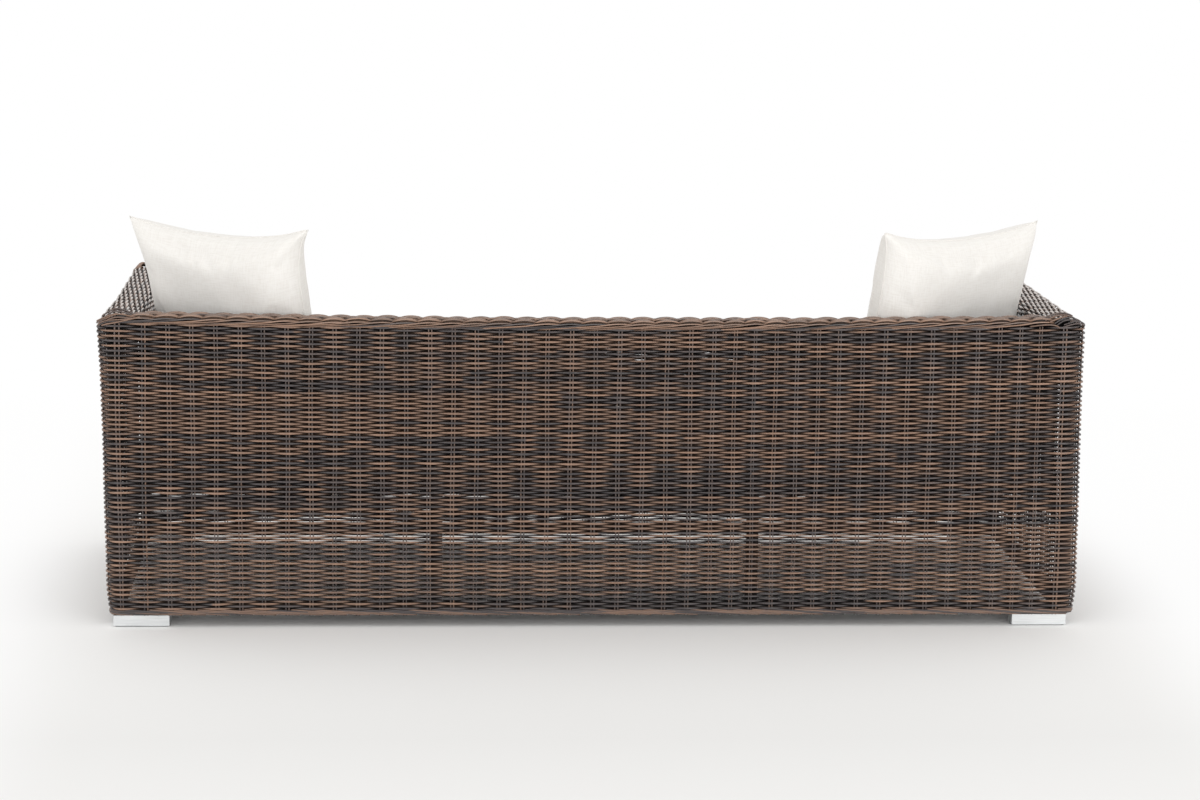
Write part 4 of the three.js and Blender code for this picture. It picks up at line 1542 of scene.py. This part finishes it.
    def seam_line(self, piece: bpy.types.Object, flat: np.ndarray) -> np.ndarray:
        """Finds the line where the two panels meet, in order round the pillow."""
        places = points_of(piece)
        half = self.flat_side / 2
        u, v = (flat[:, :2] / half).T
        edge = np.maximum(np.abs(u), np.abs(v)) > 1 - 1e-4
        u, v, places = u[edge], v[edge], places[edge]
        round_about = np.select(
            [v < -1 + 1e-4, u > 1 - 1e-4, v > 1 - 1e-4],
            [(u + 1) / 2, 1 + (v + 1) / 2, 2 + (1 - u) / 2], 3 + (1 - v) / 2,
        )
        order = np.round(round_about * self.steps).astype(int) % (4 * self.steps)
        total = np.zeros((4 * self.steps, 3))
        np.add.at(total, order, places)
        return total / np.bincount(order, minlength=4 * self.steps)[:, None]


@dataclass
class SeatCushion:
    """A boxed seat cushion: crowned foam in a corded cover."""

    name: str
    index: int
    height: float = 116 * MM
    crown: float = 11 * MM
    play: float = 1.5 * MM
    start_inside: float = 4 * MM
    voxel: float = 12 * MM
    cord: float = 3 * MM
    cord_level: float = 0.93
    cord_points: int = 240
    cord_sunk: float = 0.8 * MM
    tucked: float = 0.012
    drawn: float = 0.008

    @property
    def width(self) -> float:
        """The cushion's width."""
        return (2 * SIZES.arm_inner - 4 * self.play) / 3

    @property
    def middle(self) -> tuple[float, float]:
        """The cushion's middle, across and along the seat."""
        x = (self.index - 1) * (self.width + self.play)
        return x, (SIZES.back_inner - self.play - SIZES.half_depth) / 2

    @property
    def depth(self) -> float:
        """The cushion's depth, front to back."""
        return SIZES.back_inner + SIZES.half_depth - self.play

    def form(self, cube: np.ndarray, inside: float) -> np.ndarray:
        """Shapes a cube's points into the cushion.

        Args:
            cube: Points of a cube that reaches 1 each way.
            inside: How far inside the full shape the result stays.

        Returns:
            Places in the sofa.
        """
        u, v = (np.sin(cube[:, :2] * math.pi / 2)).T
        w = cube[:, 2]
        tuck = 1 - self.tucked * w ** 2 - self.tucked * (u * v) ** 8
        x = u * (self.width / 2 - inside) * tuck * (1 - self.drawn * (1 - v ** 2))
        y = v * (self.depth / 2 - inside) * tuck * (1 - self.drawn * (1 - u ** 2))
        bottom = SIZES.deck_height + SIZES.gap
        top = self.height + self.crown * (1 - u ** 2) * (1 - v ** 2) - inside
        return np.column_stack(
            [x + self.middle[0], y + self.middle[1], bottom + top * (1 + w) / 2]
        )

    def build(self, cover: bpy.types.Material) -> None:
        """Fills the cushion, covers it and cords its edges.

        Args:
            cover: The cushion's material.
        """
        deselect_all()
        bpy.ops.mesh.primitive_cube_add(size=2, enter_editmode=True)
        piece = named(bpy.context.object, f"{self.name}_cover")
        bpy.ops.mesh.select_all(action="SELECT")
        bpy.ops.mesh.subdivide(number_cuts=19)
        bpy.ops.object.mode_set(mode="OBJECT")
        move_points(piece, self.form(points_of(piece), self.start_inside))
        piece.data.remesh_voxel_size = self.voxel
        bpy.ops.object.voxel_remesh()
        puff(piece, 4.0, 20, cap=6 * MM)
        low, high = (np.array(corner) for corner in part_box(self.name))
        move_points(piece, np.clip(points_of(piece), low, high))
        subdivide_smoothly(piece)
        with editing(piece):
            bpy.ops.uv.cube_project(cube_size=1.0)
        piece.data.uv_layers[0].name = "cloth"
        dress(piece, cover)
        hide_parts(self.name)
        parts = [piece]
        surface = BVHTree.FromObject(piece, bpy.context.evaluated_depsgraph_get())
        for level, word in ((-self.cord_level, "lower"), (self.cord_level, "upper")):
            line = self.edge_line(level, surface)
            parts.append(Seam(f"{self.name}_{word}_cord", line, self.cord).build(cover))
        for part in parts:
            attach(part, self.name)
        log.info("%s: %d points", self.name, len(piece.data.vertices))

    def edge_line(self, level: float, surface: BVHTree) -> np.ndarray:
        """Lays a line round the cushion's side, on its surface.

        Args:
            level: How high the line is, from -1 at the bottom to 1 at the top.
            surface: The finished cushion.

        Returns:
            The line's points.
        """
        turn = np.linspace(0, 2 * math.pi, self.cord_points, endpoint=False)
        square = np.column_stack([np.cos(turn), np.sin(turn)])
        square /= np.abs(square).max(axis=1, keepdims=True)
        cube = np.column_stack([square, np.full(len(turn), level)])
        line = []
        for place in self.form(cube, self.start_inside):
            near, normal, _, _ = surface.find_nearest(Vector(place))
            line.append(near - normal * self.cord_sunk)
        return np.array(line)


# Studio


@dataclass(frozen=True)
class Studio:
    """A pale floor that fades to white, soft lamps and the photograph's view."""

    eye: tuple[float, float, float] = (0.4296, 7.0939, 1.6614)
    turn: float = 0.0651826
    dip: float = 0.1725522
    roll: float = 0.0140622
    focal_share: float = 3176.458 / 1200
    sensor: float = 36.0

    def build(self) -> None:
        """Sets up the whole studio."""
        self.camera()
        self.world()
        self.floor()
        self.lamps()
        view = bpy.context.scene.view_settings
        view.view_transform = "Standard"

    def camera(self) -> None:
        """Puts the camera where the photograph was taken from."""
        data = bpy.data.cameras.new("view")
        data.sensor_fit = "HORIZONTAL"
        data.sensor_width = self.sensor
        data.lens = self.focal_share * self.sensor
        data.clip_end = 100
        sin, cos = math.sin, math.cos
        forward = Vector((-sin(self.turn) * cos(self.dip), -cos(self.turn) * cos(self.dip),
                          -sin(self.dip)))
        level = Vector((-cos(self.turn), sin(self.turn), 0))
        above = level.cross(forward)
        right = cos(self.roll) * level + sin(self.roll) * above
        up = cos(self.roll) * above - sin(self.roll) * level
        camera = bpy.data.objects.new("view", data)
        camera.matrix_world = Matrix((
            (right.x, up.x, -forward.x, self.eye[0]),
            (right.y, up.y, -forward.y, self.eye[1]),
            (right.z, up.z, -forward.z, self.eye[2]),
            (0, 0, 0, 1),
        ))
        bpy.context.scene.collection.objects.link(camera)
        bpy.context.scene.camera = camera

    def world(self) -> None:
        """Lights from all round, and shows white to the camera and in reflections."""
        world = bpy.data.worlds.new("studio")
        bpy.context.scene.world = world
        world.use_nodes = True
        tree = world.node_tree
        tree.nodes.clear()
        path = add_node(tree, "LightPath")
        seen = calculate(tree, "MAXIMUM", path["Is Camera Ray"], path["Is Glossy Ray"])
        seen = calculate(tree, "MAXIMUM", seen, path["Is Transmission Ray"])
        light, white = (
            add_node(tree, "Background", {"Color": linear(colour), "Strength": 1.0})[0]
            for colour in ("#fcfbfa", "#ffffff")
        )
        mixed = add_node(tree, "MixShader", {0: seen, 1: light, 2: white})
        add_node(tree, "OutputWorld", {"Surface": mixed[0]})

    def floor(self) -> None:
        """Lays the floor: it keeps the shadow near the sofa and fades to white further off.

        Its colour is paler near the sofa, as painted light that lightens the shadow there,
        and greyer towards the camera, as painted shade where more light falls.
        """
        deselect_all()
        bpy.ops.mesh.primitive_plane_add(size=60, location=(0, 0, 0))
        floor = bpy.context.object
        floor.name = "studio_floor"
        material = bpy.data.materials.new("painted_studio_floor")
        material.use_nodes = True
        tree = material.node_tree
        shader = tree.nodes["Principled BSDF"]
        apart = add_node(tree, "SeparateXYZ", {0: object_place(tree)})
        # Painted light: paler near the sofa to lighten its shadow, greyer towards the camera where
        # more light reaches.
        nearer = add_node(
            tree, "MapRange", {"From Min": 0.4, "From Max": 1.3, "Value": apart["Y"]},
        )
        set_node(tree, shader, {
            "Base Color": add_ramp(tree, nearer[0], (0.0, "#fcfcfb"), (1.0, "#ebebea")),
            "Roughness": 0.85,
        })
        fade = 0.0
        aside = calculate(tree, "ABSOLUTE", apart["X"])
        for place, start, end, most in (
            (apart["Y"], -0.4, -2.6, 1.0), (aside, 1.0, 1.4, 0.9), (apart["Y"], 1.9, 3.4, 1.0),
        ):
            further = add_node(tree, "MapRange", {
                "interpolation_type": "SMOOTHSTEP", "Value": place, "From Min": start,
                "From Max": end, "To Max": most,
            })
            fade = calculate(tree, "MAXIMUM", further[0], fade)
        path = add_node(tree, "LightPath")
        seen = calculate(tree, "MAXIMUM", path["Is Camera Ray"], path["Is Transmission Ray"])
        white = add_node(tree, "Emission", {"Strength": 1.0})
        mixed = add_node(tree, "MixShader", {
            0: calculate(tree, "MULTIPLY", fade, seen), 1: shader.outputs[0], 2: white[0],
        })
        tree.links.new(mixed[0], tree.nodes["Material Output"].inputs["Surface"])
        dress(floor, material)

    def lamps(self) -> None:
        """Hangs a wide soft lamp overhead and stands a low one on each side of the camera."""
        for name, place, aim, size, power in (
            ("overhead", (0.0, 0.5, 4.0), (0, 0.5, 0.0), (6.0, 4.5), 4),
            ("beside_camera", (-2.6, 5.4, 1.3), (0, 0.3, 0.6), (2.4, 2.0), 60),
            ("other_side", (3.0, 5.2, 1.3), (0.4, 0.2, 0.6), (2.4, 2.0), 42),
        ):
            data = bpy.data.lights.new(name, "AREA")
            data.shape = "RECTANGLE"
            data.size, data.size_y = size
            data.energy = power
            lamp = bpy.data.objects.new(name, data)
            lamp.location = place
            lamp.rotation_euler = (Vector(aim) - Vector(place)).to_track_quat("-Z", "Y").to_euler()
            bpy.context.scene.collection.objects.link(lamp)


# Putting it together


@dataclass
class Basketwork:
    """All the woven skins and borders of the sofa."""

    cane: bpy.types.Material
    border_rows: float = 12 * MM
    arm_bays: int = 16
    back_bays: int = 44
    front_bays: int = 42
    end_bays: int = 3
    inside_bays: int = 38
    inner_lenses: int = 39
    half_rows: int = 59
    foot_spacing: float = 49.6 * MM
    closing_apart: float = 3.3 * MM
    closing_points: int = 24
    pinholes: tuple[tuple[float, float], ...] = (
        (0.117, 0.604), (0.096, 0.604), (0.117, 0.595), (0.096, 0.594),
        (0.068, 0.620), (0.068, 0.589), (0.068, 0.579), (0.045, 0.579),
        (0.019, 0.605), (-0.008, 0.605), (0.017, 0.595), (-0.009, 0.594),
        (-0.032, 0.620), (-0.047, 0.620), (-0.047, 0.598), (-0.086, 0.592),
        (-0.098, 0.601), (-0.098, 0.591), (-0.146, 0.575), (-0.195, 0.558),
        (-0.240, 0.595), (-0.287, 0.580), (-0.330, 0.576), (-0.330, 0.565),
        (-0.049, 0.490), (-0.098, 0.464),
    )

    def build(self) -> None:
        """Weaves every skin in turn round the sofa."""
        self.walls()
        self.arms()
        self.insides()
        self.borders()

    def keep(self, pieces: list[bpy.types.Object], *nodes: str) -> None:
        """Fixes pieces to the frame in place of their solids."""
        for piece in pieces:
            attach(piece, "root")
            log.info("%s: %d points", piece.name, len(piece.data.vertices))
        if nodes:
            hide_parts(*nodes)

    def walls(self) -> None:
        """Weaves the back and the front wall."""
        plan, half_rows = back_plan(), self.half_rows
        for part, name in enumerate(("lower", "upper")):
            start = self.border_rows + part * half_rows * WovenSkin.row_pitch
            back = WovenSkin(
                f"back_weave_{name}", Wall(plan, SIZES.frame_bottom), plan.length,
                start + half_rows * WovenSkin.row_pitch, self.back_bays, start_height=start,
                first=(self.arm_bays + part * half_rows) % 2, seed=11 + 50 * part, steps=6,
                loose_places=[
                    (plan.length / 2 + SIZES.woven_at(x), z - SIZES.frame_bottom)
                    for x, z in self.pinholes
                ],
                staked=name == "upper",
            )
            self.keep(back.build(self.cane), *([] if part else ["back_outer_skin"]))
        plan = front_plan()
        front = WovenSkin(
            "front_weave", Wall(plan, SIZES.frame_bottom), plan.length,
            SIZES.deck_height - SIZES.frame_bottom - 4 * MM, self.front_bays,
            start_height=self.border_rows, first=(2 * self.arm_bays + self.back_bays) % 2, seed=12,
        )
        self.keep(front.build(self.cane), "front_lower_skin")

    def arms(self) -> None:
        """Weaves both arms and their front ends."""
        profile = arm_profile()
        rear = SIZES.lining_face
        length = rear - SIZES.front_joint
        for side, name in ((-1, "left"), (1, "right")):
            surface = ArmWrap(profile, side, SIZES.front_joint, rear)
            first = 0 if side < 0 else (self.arm_bays + self.back_bays) % 2
            # The arms' crests near the top get a strong painted highlight.
            arm = WovenSkin(
                f"arm_weave_{name}", surface, length, profile.length, self.arm_bays,
                start_height=self.border_rows, first=first, seed=20 + side, painted_highlight=1.8,
            )
            self.keep(arm.build(self.cane), f"arm_skin_{name}")
            self.arm_end(side, name)

    def arm_end(self, side: int, name: str) -> None:
        """Weaves an arm's front end, above the deck."""
        plan = arm_end_plan(side)
        bottom = SIZES.deck_height + SIZES.gap
        straight = SIZES.arm_height - SIZES.arm_edge - bottom
        surface = ArmCap(plan, bottom, straight, SIZES.arm_edge)
        height = straight + SIZES.arm_edge * math.pi / 2 + 9 * MM
        end = WovenSkin(
            f"arm_end_weave_{name}", surface, plan.length, height, self.end_bays,
            first=self.end_bays % 2 if side < 0 else 0, seed=30 + side, steps=6,
        )
        self.keep(end.build(self.cane), f"arm_end_skin_{name}")

    def insides(self) -> None:
        """Weaves the lining of the back and the deck under the cushions."""
        reach, plan = SIZES.arm_inner, lining_plan()
        lining = WovenSkin(
            "back_lining_weave", Wall(plan, SIZES.deck_height), plan.length,
            SIZES.border_bottom - SIZES.deck_height - 6 * MM, self.inside_bays, seed=15,
            row_pitch=4.8 * MM, weaver_radius=3.3 * MM, lift=2.5 * MM, sides=6,
            looseness=4.2 * MM, loose_reach=(5.5 * MM, 4.5 * MM),
            loose_places=[
                (reach - x, z - 9 * MM - SIZES.deck_height) for x, z in self.pinholes
            ],
        )
        self.keep(lining.build(self.cane), "back_inner_skin")
        front = -SIZES.half_depth + SIZES.skin + SIZES.gap
        deck = WovenSkin(
            "deck_weave", Deck(-reach, front, SIZES.deck_height), 2 * reach,
            SIZES.back_inner - front, self.inside_bays, seed=16, row_pitch=8 * MM,
            weaver_radius=2.6 * MM, lift=2.3 * MM, steps=3, sides=4, settles=False,
        )
        self.keep(deck.build(self.cane), "seat_deck")

    def borders(self) -> None:
        """Plaits the borders along the top of the back and along the lower edges."""
        back, front, profile, inner = back_plan(), front_plan(), arm_profile(), lining_plan()
        bundle = CaneBundle("plaited_top_border", 1.65 * MM)
        top = SIZES.border_height - 1 * MM
        surface = Wall(back, SIZES.border_bottom)
        outer_border = RolledBorder(
            surface, back.length, self.back_bays, top, True, end_drop=19 * MM, free_ends=2,
        )
        inner_border = RolledBorder(
            Wall(inner, SIZES.border_bottom), inner.length, self.inner_lenses, top, False, seed=43,
        )
        outer_border.plait(bundle)
        outer_border.wind_core(bundle)
        inner_border.plait(bundle)
        for from_start, strands in ((True, KNOT), (False, FAN)):
            CornerCurl(surface, back.length, from_start, strands).plait(bundle)
        self.keep([bundle.build(self.cane)], "top_border")
        self.arm_borders()
        rear = SIZES.lining_face
        runs = [
            ("foot_border_back", Wall(back, SIZES.frame_bottom), back.length),
            ("foot_border_front", Wall(front, SIZES.frame_bottom), front.length),
        ]
        for side, name in ((-1, "left"), (1, "right")):
            surface = ArmWrap(profile, side, SIZES.front_joint, rear)
            runs.append((f"foot_border_{name}", surface, rear - SIZES.front_joint))
        for index, (name, surface, length) in enumerate(runs):
            border = FootBorder(name, surface, length, self.foot_spacing, 60 + index)
            self.keep([border.build(self.cane)])

    def arm_borders(self) -> None:
        """Plaits the low border across the front of each arm's top."""
        for side, name in ((-1, "left"), (1, "right")):
            plan = arm_end_plan(side)
            reach = SIZES.arm_width - 2 * SIZES.skin
            start = side * (SIZES.arm_inner + SIZES.half_length) / 2 + reach / 2
            rear = Route((start, SIZES.front_joint), math.pi, ((reach, 0.0),))
            bundle = CaneBundle(f"plaited_arm_border_{name}", 1.7 * MM)
            for run, towards_start in ((plan, side > 0), (rear, side > 0)):
                RolledBorder(
                    Wall(run, SIZES.arm_height), run.length, 3, 9 * MM, towards_start,
                    scale=0.4, depth=25 * MM, end_drop=15 * MM, corner_run=36 * MM,
                    seed=50 + side,
                ).plait(bundle)
            self.close_corner(bundle, side)
            self.keep([bundle.build(self.cane)], f"arm_border_{name}")

    def close_corner(self, bundle: CaneBundle, side: int) -> None:
        """Lays short strands over the hollow between the end of an arm's top and the border.

        Args:
            bundle: The bundle that gets the strands.
            side: Which end of the sofa it is, -1 or 1.
        """
        chance = np.random.default_rng(90 + side)
        round_off, apart, count = 28 * MM, self.closing_apart, self.closing_points
        for inward in np.arange(20 * MM, 60 * MM, apart):
            lost = max(round_off - inward, 0.0)
            outer = round_off - math.sqrt(round_off * round_off - lost * lost) + 5 * MM
            x = side * np.linspace(SIZES.half_length - outer, SIZES.arm_inner + 2 * MM, count)
            swing = 0.8 * MM * np.sin(x / (8 * MM) + inward / apart * math.pi)
            y = np.full(count, SIZES.half_depth - inward)
            climb = smoothstep(22 * MM, 50 * MM, SIZES.half_length - np.abs(x))
            z = SIZES.arm_height - 7.5 * MM + 12.5 * MM * climb + swing
            line = np.column_stack([x, y, z])
            # The painted light of 0.8 darkens these strands slightly as painted shade.
            bundle.add(line, float(np.clip(chance.normal(0.55, 0.15), 0, 1)), 0.8)


def dress_frame() -> None:
    """Gives the solids that stay their real finishes."""
    finishes = {
        "foot_screw": ZincPlatedSteel("zinc_plated_steel").material(),
        "foot": BrushedAluminium("brushed_anodised_aluminium").material(),
        "glide": MouldedGlide("moulded_polyethylene").material(),
        "": PowderCoat("powder_coated_tube").material(),
    }
    for name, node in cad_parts.items():
        start = next(key for key in finishes if name.startswith(key))
        for slot in node.material_slots:
            slot.material = finishes[start]


def main() -> None:
    """Builds the sofa and its studio, piece by piece."""
    logging.basicConfig(level=logging.INFO, format="%(message)s")
    Studio().build()
    log.info("studio: ready")
    dress_frame()
    Basketwork(ExtrudedCane("extruded_polyethylene_cane").material()).build()
    seat_cover = WovenCover("slubbed_polyester_seat_cover").material()
    for index, place in enumerate(("left", "middle", "right")):
        SeatCushion(f"seat_cushion_{place}", index).build(seat_cover)
    pillow_cover = WovenCover("slubbed_polyester_pillow_cover", PaleCloth.PILLOW).material()
    for pillow in (
        ThrowPillow(-1, 34, 12, 71, side_draw=0.07, inward=14 * MM, full_width=458 * MM),
        ThrowPillow(1, 33, 12, 72),
    ):
        pillow.build(pillow_cover)


if __name__ == "__main__":
    main()
